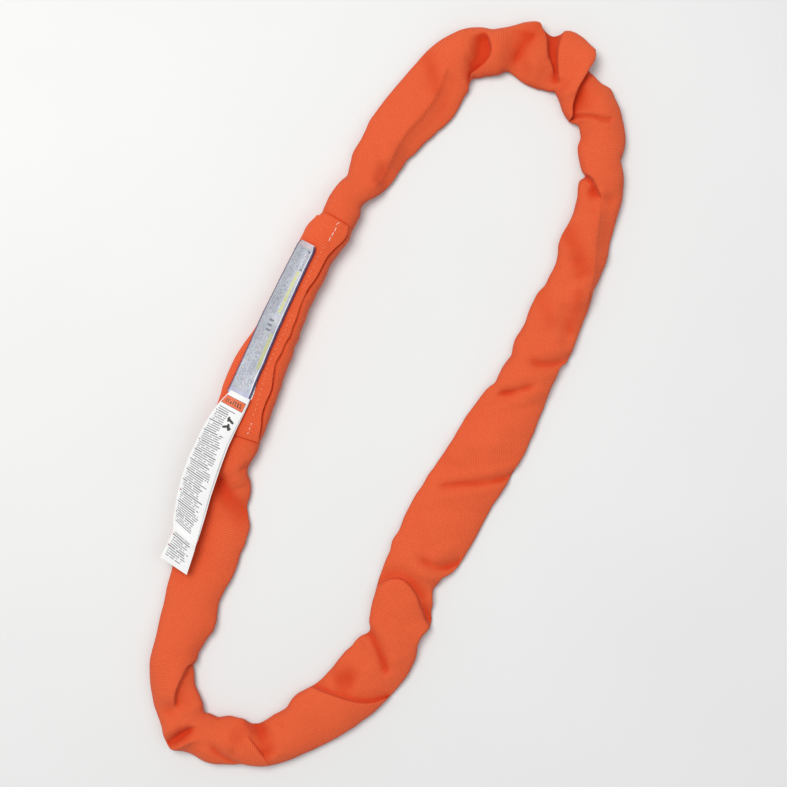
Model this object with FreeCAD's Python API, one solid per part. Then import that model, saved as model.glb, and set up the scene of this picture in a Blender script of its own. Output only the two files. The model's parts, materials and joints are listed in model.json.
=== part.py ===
import FreeCAD, Part
import math
import os

from FreeCAD import Vector as V

"""Endless round sling, nominal three foot, laid open on the floor as a long oval loop. Millimetres.

+X runs along the loop from the lower bight to the upper bight, +Y towards the leg that carries the
identification tag, and +Z up, with Z = 0 on the floor under the sling.

Endless turns of polyester yarn lie inside two woven tubular covers. The outer cover's ends meet
under a sewn sleeve, which carries the tag and two label sheets. The sling bends at five lines
across both legs, so covers and yarn are cut there into lengths, each one part of a rigid body.

Two measures are used all through. A station number, passed as "at", is a place along the loop and
may be fractional. A depth is how far a surface lies inside the outer cover's outer face; negative
depths are outside it.
"""

os.makedirs("parts", exist_ok=True)

# ---------------------------------------------------------------- driving dimensions
COVER_WALL = 1.1          # woven outer cover
INNER_WALL = 0.8          # woven inner cover
COVER_GAP = 0.35          # play between the two covers
INNER_DEPTH = COVER_WALL + COVER_GAP

YARN_RADIUS = 2.7         # one turn of core yarn
YARN_PITCH = 5.9          # spacing of the turns side by side
LOWER_ROW, UPPER_ROW = -2.6, 2.75       # the rows' heights from the leg's mid height
YARN_SIDES = 8
# Each turn's offset across the leg and up: three side by side and two riding on top.
TURN_PLACES = [
    (-YARN_PITCH, LOWER_ROW), (0.0, LOWER_ROW), (YARN_PITCH, LOWER_ROW),
    (-YARN_PITCH / 2, UPPER_ROW), (YARN_PITCH / 2, UPPER_ROW),
]

# Bend lines, X
UPPER_BEND_1, UPPER_BEND_2, UPPER_BEND_3 = 175.0, 235.0, 295.0
LOWER_BEND_1, LOWER_BEND_2 = -290.0, -345.0
BEND_GAP = 0.8            # clearance between two lengths at a bend line
BEND_AXIS_Z = 29.5        # height of the bend axes, just above the tallest leg
DROOP_DEG = 8.0           # how far each bend line opens downwards
DROOP_SPARE_DEG = 0.6     # extra lean of each cut face
BEND_OVERRUN = 1.1        # stations of extra length, cut off at the bend lines

# Sleeve, cover overlap and yarn splice on the tag leg, X and thickness
SLEEVE_FROM, SLEEVE_TO = -99.0, 137.0
SLEEVE_WALL = 1.2
JOIN_FROM, JOIN_TO = -40.0, 60.0        # overlapped ends of the outer cover
OVERLAP_GAP = 0.25        # from the cover to the overlapping end
SLEEVE_GAP = 0.5          # from the overlapping end to the sleeve
SPLICE_FROM, SPLICE_TO = -8.0, 22.0
OVERLAP_IN = -OVERLAP_GAP               # depths of the layers' faces
OVERLAP_OUT = OVERLAP_IN - COVER_WALL
SLEEVE_IN = -(OVERLAP_GAP + COVER_WALL + SLEEVE_GAP)
SLEEVE_OUT = SLEEVE_IN - SLEEVE_WALL

# What the sleeve and the overlap add round the leg, with the play of each
SLEEVE_PLAY, OVERLAP_PLAY = 0.65, 0.3
STACK = SLEEVE_WALL + SLEEVE_PLAY + COVER_WALL + OVERLAP_PLAY
LIFT_REACH = 30.0         # the leg is lifted this far beyond the sleeve's ends
LIFT_RAMP = 26.0          # length over which it rises

# Leg section
LEG_LEAST_HEIGHT = 19.0
SECTION_POWER = 0.86      # below 1 squares the oval
FLOOR_SINK = 1.6          # a resting cover dips this far below the floor, and is cut off flat
RESTING_LIFT = 0.5        # a leg lifted no more than this rests on the floor

# ---------------------------------------------------------------- plan of the loop
# Clockwise from the crown of the upper bight: x, y of the leg's middle, half width, height. One
# station every 22.9 mm. The cover is a lay-flat tube, so a length bunched narrow stands taller.
STATIONS = [
    (391.4, 42.2, 28.6, 21.8), (396.6, 20.5, 31.3, 19.9), (397.7, -1.5, 31.6, 19.8),
    (391.6, -22.4, 27.9, 22.2), (380.5, -42.1, 26, 23.6), (367.8, -60.6, 25.2, 24.1),
    (351.6, -75.7, 24.1, 24.8), (332.1, -87.3, 23.8, 25.1), (311.3, -96.9, 23.2, 25.5),
    (289.7, -104.6, 22.8, 25.8), (267.3, -109.9, 22.9, 25.7), (244.5, -114.1, 24.1, 24.9),
    (221.8, -118.4, 24.7, 24.5), (198.9, -121.5, 25, 24.3), (175.8, -122.9, 26.5, 23.3),
    (152.7, -124, 27.9, 22.3), (129.6, -124.9, 28.5, 21.9), (106.4, -124.8, 28.5, 21.9),
    (83.2, -124, 29.2, 21.4), (60, -123.2, 31.2, 20), (36.8, -122.6, 33.5, 18.4),
    (13.5, -122.2, 35.3, 18), (-9.7, -121.3, 35.9, 18), (-32.8, -119.6, 36, 18),
    (-56, -117.6, 36.4, 18), (-79.2, -116.3, 36.9, 18), (-102.4, -115.4, 36.6, 18),
    (-125.5, -114.5, 34.4, 18), (-148.6, -114.2, 31.7, 19.7), (-171.5, -116.7, 31.6, 19.7),
    (-193.9, -121.6, 32.2, 19.4), (-216.5, -125.3, 30.7, 20.3), (-239.3, -125.2, 30.8, 20.3),
    (-261.8, -121.2, 32, 19.5), (-284, -114.9, 31.7, 19.7), (-305.5, -106.5, 30.3, 20.6),
    (-326.2, -96.1, 29.2, 21.4), (-346.4, -84.9, 27.3, 22.7), (-365.6, -72.4, 24.9, 24.3),
    (-381.8, -56.8, 23.8, 25.1), (-393.8, -37.8, 24.9, 24.4), (-402.4, -16.8, 25.8, 23.7),
    (-406.8, 4.8, 25.6, 23.9), (-403.1, 25.5, 25.3, 24), (-390.6, 43.1, 24.2, 24.8),
    (-373.2, 57.4, 23.4, 25.4), (-353, 67.6, 23.7, 25.2), (-331, 73.5, 24.9, 24.3),
    (-308.3, 77.3, 27, 22.9), (-285.6, 81.3, 28.4, 21.9), (-262.8, 85.1, 30, 20.8),
    (-239.9, 88.8, 32, 19.5), (-217.1, 93, 33.2, 18.7), (-194.7, 98.7, 32.6, 19.1),
    (-172.6, 105.5, 30.4, 20.6), (-150.4, 112, 28.2, 22.1), (-127.9, 117.2, 27.3, 22.7),
    (-105.1, 121, 27.7, 22.4), (-82.1, 124.5, 28.2, 22.1), (-59.2, 127.8, 28.5, 21.9),
    (-36.1, 130, 27.5, 22.6), (-13, 130.5, 24.8, 24.4), (10.2, 130.6, 21.9, 26.4),
    (33.3, 131.5, 20.3, 27), (56.5, 132.4, 19.6, 27), (79.7, 133, 19.5, 27),
    (102.9, 133, 20.2, 27), (125.9, 131.8, 20.8, 27), (148.9, 130.3, 20.1, 27),
    (171.8, 128.5, 20, 27), (194.5, 125.6, 22.4, 26), (217.3, 123.3, 25.6, 23.9),
    (240.2, 120.8, 27.6, 22.5), (263, 116.8, 29.6, 21.1), (285.5, 111.6, 31.2, 20),
    (308.1, 106.5, 31.5, 19.8), (330.4, 101.6, 29.9, 20.9), (351.2, 93.8, 27.7, 22.4),
    (368.5, 80.3, 26.5, 23.2), (381.9, 62.4, 26.4, 23.3),
]
STATION_COUNT = len(STATIONS)
CENTRE_X, CENTRE_Y = -1.26, -0.16        # the loop's middle in the table, moved to the origin


# ---------------------------------------------------------------- the leg's path and section
def station(at):
    """Middle, left-hand normal, half width and height, by a Catmull-Rom spline."""
    index = math.floor(at)
    f = at - index
    columns = list(zip(*(STATIONS[(index + j) % STATION_COUNT] for j in (-1, 0, 1, 2))))

    def value(before, start, end, after):
        return 0.5 * ((2 * start) + (end - before) * f
                      + (2 * before - 5 * start + 4 * end - after) * f * f
                      + (3 * start - before - 3 * end + after) * f ** 3)

    def slope(before, start, end, after):
        return ((end - before) + 2 * (2 * before - 5 * start + 4 * end - after) * f
                + 3 * (3 * start - before - 3 * end + after) * f * f)

    x, y, half_width, height = (value(*column) for column in columns)
    tangent = V(slope(*columns[0]), slope(*columns[1]), 0)
    tangent.normalize()
    return V(x - CENTRE_X, y - CENTRE_Y, 0), V(-tangent.y, tangent.x, 0), half_width, height


def bisect(low, high, is_before):
    """The place between low and high where is_before stops being true."""
    for _ in range(40):
        middle = (low + high) / 2
        if is_before(middle):
            low = middle
        else:
            high = middle
    return (low + high) / 2


def on_tag_leg(x):
    """Station number where the tag leg (Y above 0) crosses X = x."""
    return bisect(46.0, 76.0, lambda at: station(at)[0].x < x)


def on_plain_leg(x):
    return bisect(4.0, 40.0, lambda at: station(at)[0].x > x)


def lift(x, y):
    """How far the sleeve and the overlap raise the cover off the floor under the tag leg."""
    if y < 0:
        return 0.0
    rise = (x - (SLEEVE_FROM - LIFT_REACH)) / LIFT_RAMP
    fall = ((SLEEVE_TO + LIFT_REACH) - x) / LIFT_RAMP
    share = max(0.0, min(1.0, rise, fall))
    return STACK * share * share * (3 - 2 * share)


def leg_frame(at):
    """Middle, left-hand normal, half width, bottom and top. The lift also narrows the leg."""
    middle, normal, half_width, height = station(at)
    bottom = lift(middle.x, middle.y)
    return middle, normal, half_width - bottom, bottom, max(height, LEG_LEAST_HEIGHT + bottom)


def signed_power(value, power):
    return math.copysign(abs(value) ** power, value)


def point(at, angle, depth):
    """A point on the leg's section; angle 0 is the left-hand edge (the loop's outer edge), 90
    degrees the top. The angle is in radians."""
    middle, normal, half_width, bottom, top = leg_frame(at)
    sideways = signed_power(math.cos(angle), SECTION_POWER) * (half_width - depth)
    clear_of_floor = bottom > RESTING_LIFT or depth > 0
    low = bottom + depth if clear_of_floor else bottom - FLOOR_SINK
    mid_z, half_height = (low + top - depth) / 2, (top - depth - low) / 2
    z = mid_z + half_height * signed_power(math.sin(angle), SECTION_POWER)
    return middle + normal * sideways + V(0, 0, z)


def point_deg(at, angle, depth):
    return point(at, math.radians(angle), depth)


def turn_angles(count):
    """Angles evenly round a full turn, starting half a step in."""
    return [2 * math.pi * (j + 0.5) / count for j in range(count)]


def closed_spline(points):
    """A smooth closed wire in four arcs, so that no face runs right round the leg."""
    spline = Part.BSplineCurve()
    spline.interpolate(Points=points, PeriodicFlag=True)
    knots = spline.getKnots()
    cuts = [knots[len(points) * i // 4] for i in range(4)] + [knots[-1]]
    return Part.Wire([spline.toShape(a, b) for a, b in zip(cuts[:-1], cuts[1:])])


def closed_polygon(points):
    return Part.makePolygon(points + [points[0]])


# ---------------------------------------------------------------- solids along the leg
def loft_along(start, end, step, section):
    """Loft of section(at) at every multiple of step, from at or before start to at or after end,
    so that all layers share their sections."""
    first, last = math.floor(start / step), math.ceil(end / step)
    return Part.makeLoft([section(i * step) for i in range(first, last + 1)], True, True)


def slab(x0, x1, side, bend0=True, bend1=True):
    """A slice of space from x0 to x1, on one side of the loop or across both. At a bend the face
    leans so that the bend line can open downwards."""
    lean = math.tan(math.radians(DROOP_DEG / 2 + DROOP_SPARE_DEG))
    top_z, bottom_z, reach_y = 60.0, -20.0, 300.0

    def edge(x, sign, is_bend):
        """X at the top and at the bottom of one face."""
        if not is_bend:
            return x, x
        gap = BEND_GAP / 2
        return x + sign * gap, x + sign * (gap + lean * (BEND_AXIS_Z - bottom_z))

    top0, bottom0 = edge(x0, 1, bend0)
    top1, bottom1 = edge(x1, -1, bend1)
    y0 = 0.0 if side == TAG_SIDE else -reach_y
    y1 = 0.0 if side == PLAIN_SIDE else reach_y
    face = Part.Face(closed_polygon([
        V(top0, y0, top_z), V(top0, y0, BEND_AXIS_Z), V(bottom0, y0, bottom_z),
        V(bottom1, y0, bottom_z), V(top1, y0, BEND_AXIS_Z), V(top1, y0, top_z)]))
    return face.extrude(V(0, y1 - y0, 0))


TAG_SIDE, PLAIN_SIDE, BOTH_SIDES = 1, -1, 0
UNDER_FLOOR = Part.makeBox(1200, 800, 40, V(-600, -400, -40))


def without_slivers(shape):
    return [solid for solid in shape.Solids if solid.Volume > 1.0]


def tube(start, end, step, outer_section, inner_section, room, cut_at_floor=False):
    """A hollow length, kept inside room. The bore runs one step beyond each end."""
    outer = loft_along(start, end, step, outer_section)
    if cut_at_floor:
        outer = outer.cut(UNDER_FLOOR)
    inner = loft_along(start - step, end + step, step, inner_section)
    return without_slivers(outer.cut(inner).common(room))


def leg_tube(start, end, step, depth_out, depth_in, room, cut_at_floor=False):
    """A tube that follows the leg's section, between two depths."""
    def ring(at, depth):
        return closed_spline([point(at, angle, depth) for angle in turn_angles(20)])

    return tube(start, end, step, lambda at: ring(at, depth_out),
                lambda at: ring(at, depth_in), room, cut_at_floor)


def export(name, solids):
    shape = solids[0] if len(solids) == 1 else Part.makeCompound(solids)
    shape.exportStep("parts/%s.step" % name)


# ---------------------------------------------------------------- covers and yarn, by length
def yarn(start, end, step, room):
    solids = []
    for across, up in TURN_PLACES:
        def section(at):
            middle, normal, _, bottom, top = leg_frame(at)
            centre = middle + normal * across + V(0, 0, (bottom + top) / 2 + up)
            return closed_polygon([
                centre + normal * (YARN_RADIUS * math.cos(t)) + V(0, 0, YARN_RADIUS * math.sin(t))
                for t in turn_angles(YARN_SIDES)])

        solids += without_slivers(loft_along(start, end, step, section).common(room))
    return solids


def export_lengths(name, spans, x0, x1, bend0=True, bend1=True, step=1.0):
    """One body's covers and yarn. Each span is (first station, last station, side)."""
    outer, inner, core = [], [], []
    for first, last, side in spans:
        room = slab(x0, x1, side, bend0, bend1)
        start, end = first - BEND_OVERRUN, last + BEND_OVERRUN
        outer += leg_tube(start, end, step, 0.0, COVER_WALL, room, cut_at_floor=True)
        inner += leg_tube(start, end, step, INNER_DEPTH, INNER_DEPTH + INNER_WALL, room)
        core += yarn(start, end, step, room)
    export("outer_cover_" + name, outer)
    export("inner_cover_" + name, inner)
    export("core_yarn_" + name, core)


def tag_span(x0, x1):
    return on_tag_leg(x0), on_tag_leg(x1), TAG_SIDE


def plain_span(x0, x1):
    return on_plain_leg(x1), on_plain_leg(x0), PLAIN_SIDE


# Name, X from, X to, the legs it takes in
LEG_LENGTHS = [
    ("tag_leg", LOWER_BEND_1, UPPER_BEND_1, [tag_span]),
    ("plain_leg", LOWER_BEND_1, UPPER_BEND_1, [plain_span]),
    ("upper_legs_a", UPPER_BEND_1, UPPER_BEND_2, [tag_span, plain_span]),
    ("upper_legs_b", UPPER_BEND_2, UPPER_BEND_3, [tag_span, plain_span]),
    ("lower_legs", LOWER_BEND_2, LOWER_BEND_1, [tag_span, plain_span]),
]
for name, x0, x1, legs in LEG_LENGTHS:
    export_lengths(name, [leg(x0, x1) for leg in legs], x0, x1)

# The bights run from one leg round to the other, with sections twice as close.
BEYOND_BIGHT = 600.0      # X clear of either bight
BIGHT_STEP = 0.5
upper_span = (on_tag_leg(UPPER_BEND_3), on_plain_leg(UPPER_BEND_3) + STATION_COUNT, BOTH_SIDES)
export_lengths("upper_bight", [upper_span], UPPER_BEND_3, BEYOND_BIGHT,
               bend1=False, step=BIGHT_STEP)
lower_span = (on_plain_leg(LOWER_BEND_2), on_tag_leg(LOWER_BEND_2), BOTH_SIDES)
export_lengths("lower_bight", [lower_span], -BEYOND_BIGHT, LOWER_BEND_2,
               bend0=False, step=BIGHT_STEP)


# ---------------------------------------------------------------- overlap, sleeve and splice
def square_slab(x0, x1):
    """The tag leg's side between two upright faces."""
    return slab(x0, x1, TAG_SIDE, False, False)


def band(x0, x1, depth_out, depth_in):
    return leg_tube(on_tag_leg(x0), on_tag_leg(x1), 1.0, depth_out, depth_in,
                    square_slab(x0, x1))


export("cover_overlap_end", band(JOIN_FROM, JOIN_TO, OVERLAP_OUT, OVERLAP_IN))
export("tag_sleeve", band(SLEEVE_FROM, SLEEVE_TO, SLEEVE_OUT, SLEEVE_IN))


def splice_tape():
    """Tape round the turns, where the yarn's two ends are joined."""
    gap_in, gap_out = 0.5, 1.0      # the tape's faces, out from the yarn
    power = 0.45                    # squares the hoop

    def hoop(at, gap):
        middle, normal, _, bottom, top = leg_frame(at)
        mid_z = (bottom + top) / 2
        half_width = YARN_PITCH + YARN_RADIUS + gap
        half_height = UPPER_ROW + YARN_RADIUS + gap
        return closed_spline([
            middle + normal * (signed_power(math.cos(t), power) * half_width)
            + V(0, 0, mid_z + signed_power(math.sin(t), power) * half_height)
            for t in turn_angles(24)])

    return tube(on_tag_leg(SPLICE_FROM), on_tag_leg(SPLICE_TO), 1.0,
                lambda at: hoop(at, gap_out), lambda at: hoop(at, gap_in),
                square_slab(SPLICE_FROM, SPLICE_TO))


export("core_splice_tape", splice_tape())

# ---------------------------------------------------------------- sewing of overlap and sleeve
THREAD_RADIUS = 0.45
STITCH_SHARE = 0.6        # stitch length as a share of its pitch


def stitch(start, end, radius=THREAD_RADIUS):
    """One stitch of thread: a short straight rod."""
    run = end - start
    return Part.makeCylinder(radius, run.Length, start, run).Solids


def stitch_row(x0, x1, angle0, angle1, depth, pitch=6.0):
    """Stitches along the leg, at an angle round the section that changes on the way."""
    def place(f):
        return point_deg(on_tag_leg(x0 + (x1 - x0) * f), angle0 + (angle1 - angle0) * f, depth)

    solids = []
    count = int(abs(x1 - x0) / pitch)
    for j in range(count):
        solids += stitch(place(j / count), place((j + STITCH_SHARE) / count))
    return solids


def stitch_arc(x, angle0, angle1, depth, count, radius=THREAD_RADIUS):
    """Stitches across the leg at X = x, between two angles round the section."""
    at = on_tag_leg(x)

    def place(f):
        return point_deg(at, angle0 + (angle1 - angle0) * f, depth)

    solids = []
    for j in range(count):
        solids += stitch(place(j / count), place((j + STITCH_SHARE) / count), radius)
    return solids


JOIN_INSET, SEAM_INSET, END_INSET = 6, 4, 3.5     # from the ends of the overlap or sleeve
JOIN_STITCH_DEPTH = OVERLAP_OUT + 0.2
SLEEVE_STITCH_DEPTH = SLEEVE_OUT + 0.1

join_stitches = []
for x in (JOIN_FROM + JOIN_INSET, JOIN_TO - JOIN_INSET):
    join_stitches += stitch_arc(x, 35, 145, JOIN_STITCH_DEPTH, count=6, radius=0.35)
export("cover_join_stitch", join_stitches)
export("sleeve_seam_stitch", stitch_row(SLEEVE_FROM + SEAM_INSET, SLEEVE_TO - SEAM_INSET,
                                        122, 108, SLEEVE_STITCH_DEPTH))
export("sleeve_end_stitch",
       stitch_arc(SLEEVE_TO - END_INSET, 62, 104, SLEEVE_STITCH_DEPTH, count=3)
       + stitch_arc(SLEEVE_FROM + END_INSET, 76, 118, SLEEVE_STITCH_DEPTH, count=3))

# ---------------------------------------------------------------- tag
# The tag lies on the outer half of the sleeve and curves over the leg's shoulder, so its outer
# edge is the lower one. Heights below are above the tag's base.
TAG_FROM, TAG_TO = -67.0, 106.0         # X
TAG_INNER_Y = (123.8, 134.2)            # Y of the inner edge at TAG_FROM and at TAG_TO
TAG_OUTER_Y = (149.6, 152.6)
TAG_GIRTH = 27.0                        # nominal width, by which edge trims are scaled
TAG_BASE = SLEEVE_OUT - 0.3             # depth of the tag's base, just clear of the sleeve
TAG_UNDERSIDE = 1.2                     # height
TAG_WALL = 0.8
TAG_TOP = TAG_UNDERSIDE + TAG_WALL
TAG_FACE = TAG_BASE - TAG_UNDERSIDE - TAG_WALL      # depth of the tag's upper face


def angle_at(at, y):
    """The angle in degrees, on the sleeve's section, where its Y reaches y."""
    return math.degrees(bisect(math.radians(150.0), math.radians(4.0),
                               lambda angle: point(at, angle, SLEEVE_OUT).y <= y)
                        if False else
                        bisect(math.radians(4.0), math.radians(150.0),
                               lambda angle: point(at, angle, SLEEVE_OUT).y > y))


def tag_angles(x):
    """Station number, and the angles of the tag's inner and outer edges, at X = x."""
    at = on_tag_leg(x)
    f = (x - TAG_FROM) / (TAG_TO - TAG_FROM)
    inner, outer = (angle_at(at, y0 + (y1 - y0) * f) for y0, y1 in (TAG_INNER_Y, TAG_OUTER_Y))
    return at, inner, outer


def tag_strip(x0, x1, low, high, trim=0.0, spans=9):
    """A strip over the sleeve between two heights; trim takes it in at both long edges."""
    def section(x):
        at, inner, outer = tag_angles(x)
        arc = inner - outer
        cut = trim / TAG_GIRTH * arc
        pieces = 6
        angles = [inner - cut - (arc - 2 * cut) * j / pieces for j in range(pieces + 1)]
        return closed_polygon([point_deg(at, t, TAG_BASE - low) for t in angles]
                              + [point_deg(at, t, TAG_BASE - high) for t in reversed(angles)])

    sections = [section(x0 + (x1 - x0) * j / spans) for j in range(spans + 1)]
    return without_slivers(Part.makeLoft(sections, True, True))


export("tag_backing", tag_strip(TAG_FROM + 12, TAG_TO, 0.0, 0.8, trim=-0.8))
export("id_tag", tag_strip(TAG_FROM, TAG_TO, TAG_UNDERSIDE, TAG_TOP))
export("tag_window", tag_strip(TAG_FROM + 9.0, TAG_TO - 1.5,
                               TAG_TOP + 0.25, TAG_TOP + 0.6, trim=3.2))
export("label_anchor_tab", tag_strip(TAG_FROM + 0.6, TAG_FROM + 11.0, 0.1, 0.8,
                                     trim=0.4, spans=3))


def tag_edge_stitches():
    """Overlocked thread along both long edges of the tag."""
    length, pitch = 2.6, 4.2
    inset_deg = 2.6
    inner_row, outer_row = [], []
    x = TAG_FROM + 2.0
    while x < TAG_TO - 4:
        inner_ends, outer_ends = [], []
        for end_x in (x, x + length):
            at, inner, outer = tag_angles(end_x)
            inner_ends.append(point_deg(at, inner - inset_deg, TAG_FACE))
            outer_ends.append(point_deg(at, outer + inset_deg, TAG_FACE))
        inner_row += stitch(*inner_ends, radius=0.42)
        outer_row += stitch(*outer_ends, radius=0.42)
        x += pitch
    return inner_row + outer_row


def anchor_stitches():
    """A row across the tag's lower end; places are shares of the tag's arc."""
    first, pitch, length = 0.12, 0.16, 0.09
    at, inner, outer = tag_angles(TAG_FROM + 4.5)
    arc = inner - outer
    solids = []
    for j in range(5):
        start = inner - arc * (first + pitch * j)
        solids += stitch(point_deg(at, start, TAG_FACE),
                         point_deg(at, start - arc * length, TAG_FACE), 0.4)
    return solids


export("tag_edge_stitch", tag_edge_stitches())
export("label_anchor_stitch", anchor_stitches())

# ---------------------------------------------------------------- labels
# The sheets start at the tag's lower end, lie over the leg's outer shoulder and run off its outer
# side. The front sheet is the upper one.
LABEL_LENGTH = 196.0      # front sheet
LABEL_WIDTH = 33.0
LABEL_WALL = 0.35
LABEL_SLOPE = -0.012      # the labels run down towards their free ends
LABEL_START = 1.2         # from the base line to the sheets' near ends
LABEL_SEAT = SLEEVE_OUT - 2.2           # depth of the base line

at, inner, outer = tag_angles(TAG_FROM - 0.6)
base_inner = point_deg(at, inner, LABEL_SEAT)
base_outer = point_deg(at, outer, LABEL_SEAT)
crown = point_deg(at, (inner + outer) / 2, LABEL_SEAT)
along = V(-0.9915, -0.109, LABEL_SLOPE).normalize()
across = base_outer - base_inner
across = (across - along * across.dot(along)).normalize()
up = across.cross(along)
base_middle = (base_inner + base_outer) * 0.5
base_middle = base_middle + up * (crown - base_middle).dot(up)      # raised to clear the shoulder


def label_sheet(length, width, top, shift):
    """A flat sheet; top is its upper face's height above the base, shift is towards the outside."""
    corner = base_middle - across * (width / 2) + across * shift + along * LABEL_START + up * top
    outline = [corner, corner + across * width,
               corner + across * width + along * length, corner + along * length]
    return Part.Face(closed_polygon(outline)).extrude(up * -LABEL_WALL).Solids


export("warning_label_front", label_sheet(LABEL_LENGTH, LABEL_WIDTH, top=0.9, shift=1.0))
export("warning_label_back",
       label_sheet(LABEL_LENGTH - 14, LABEL_WIDTH - 1.0, top=0.3, shift=-0.6))
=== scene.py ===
"""An endless round sling lying flattened on the floor in a long closed loop.

Row frame: +Z is up and the floor is z = 0. The loop's long way lies along X, with the upper
bight at +X and the lower bight at -X. The tag leg lies at +Y and the plain leg at -Y.
Lengths are in millimetres unless a name or comment says otherwise; meshes are in metres.
"""
import json
import math
from collections import namedtuple

import bmesh
import bpy
import numpy as np
from mathutils import Matrix, Vector

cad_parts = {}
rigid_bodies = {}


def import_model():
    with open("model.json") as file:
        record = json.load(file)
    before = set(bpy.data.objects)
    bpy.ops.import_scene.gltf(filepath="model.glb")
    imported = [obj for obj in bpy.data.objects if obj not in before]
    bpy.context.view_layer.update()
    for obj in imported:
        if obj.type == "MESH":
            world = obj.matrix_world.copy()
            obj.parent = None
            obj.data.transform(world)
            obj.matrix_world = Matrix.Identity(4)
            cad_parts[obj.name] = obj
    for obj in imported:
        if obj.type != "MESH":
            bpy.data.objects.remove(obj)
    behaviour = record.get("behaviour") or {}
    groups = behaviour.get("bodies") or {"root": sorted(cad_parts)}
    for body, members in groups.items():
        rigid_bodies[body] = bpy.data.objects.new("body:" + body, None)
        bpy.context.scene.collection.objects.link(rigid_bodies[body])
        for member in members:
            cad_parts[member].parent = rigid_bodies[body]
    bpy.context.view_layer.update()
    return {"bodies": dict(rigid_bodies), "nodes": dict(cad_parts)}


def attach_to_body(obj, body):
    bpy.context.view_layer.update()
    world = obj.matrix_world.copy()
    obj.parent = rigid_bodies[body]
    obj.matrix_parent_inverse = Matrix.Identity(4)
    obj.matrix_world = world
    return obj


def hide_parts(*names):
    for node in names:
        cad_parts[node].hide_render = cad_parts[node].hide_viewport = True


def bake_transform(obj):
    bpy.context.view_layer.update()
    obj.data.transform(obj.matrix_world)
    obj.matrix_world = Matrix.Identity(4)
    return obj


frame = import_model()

MM = 0.001

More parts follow.
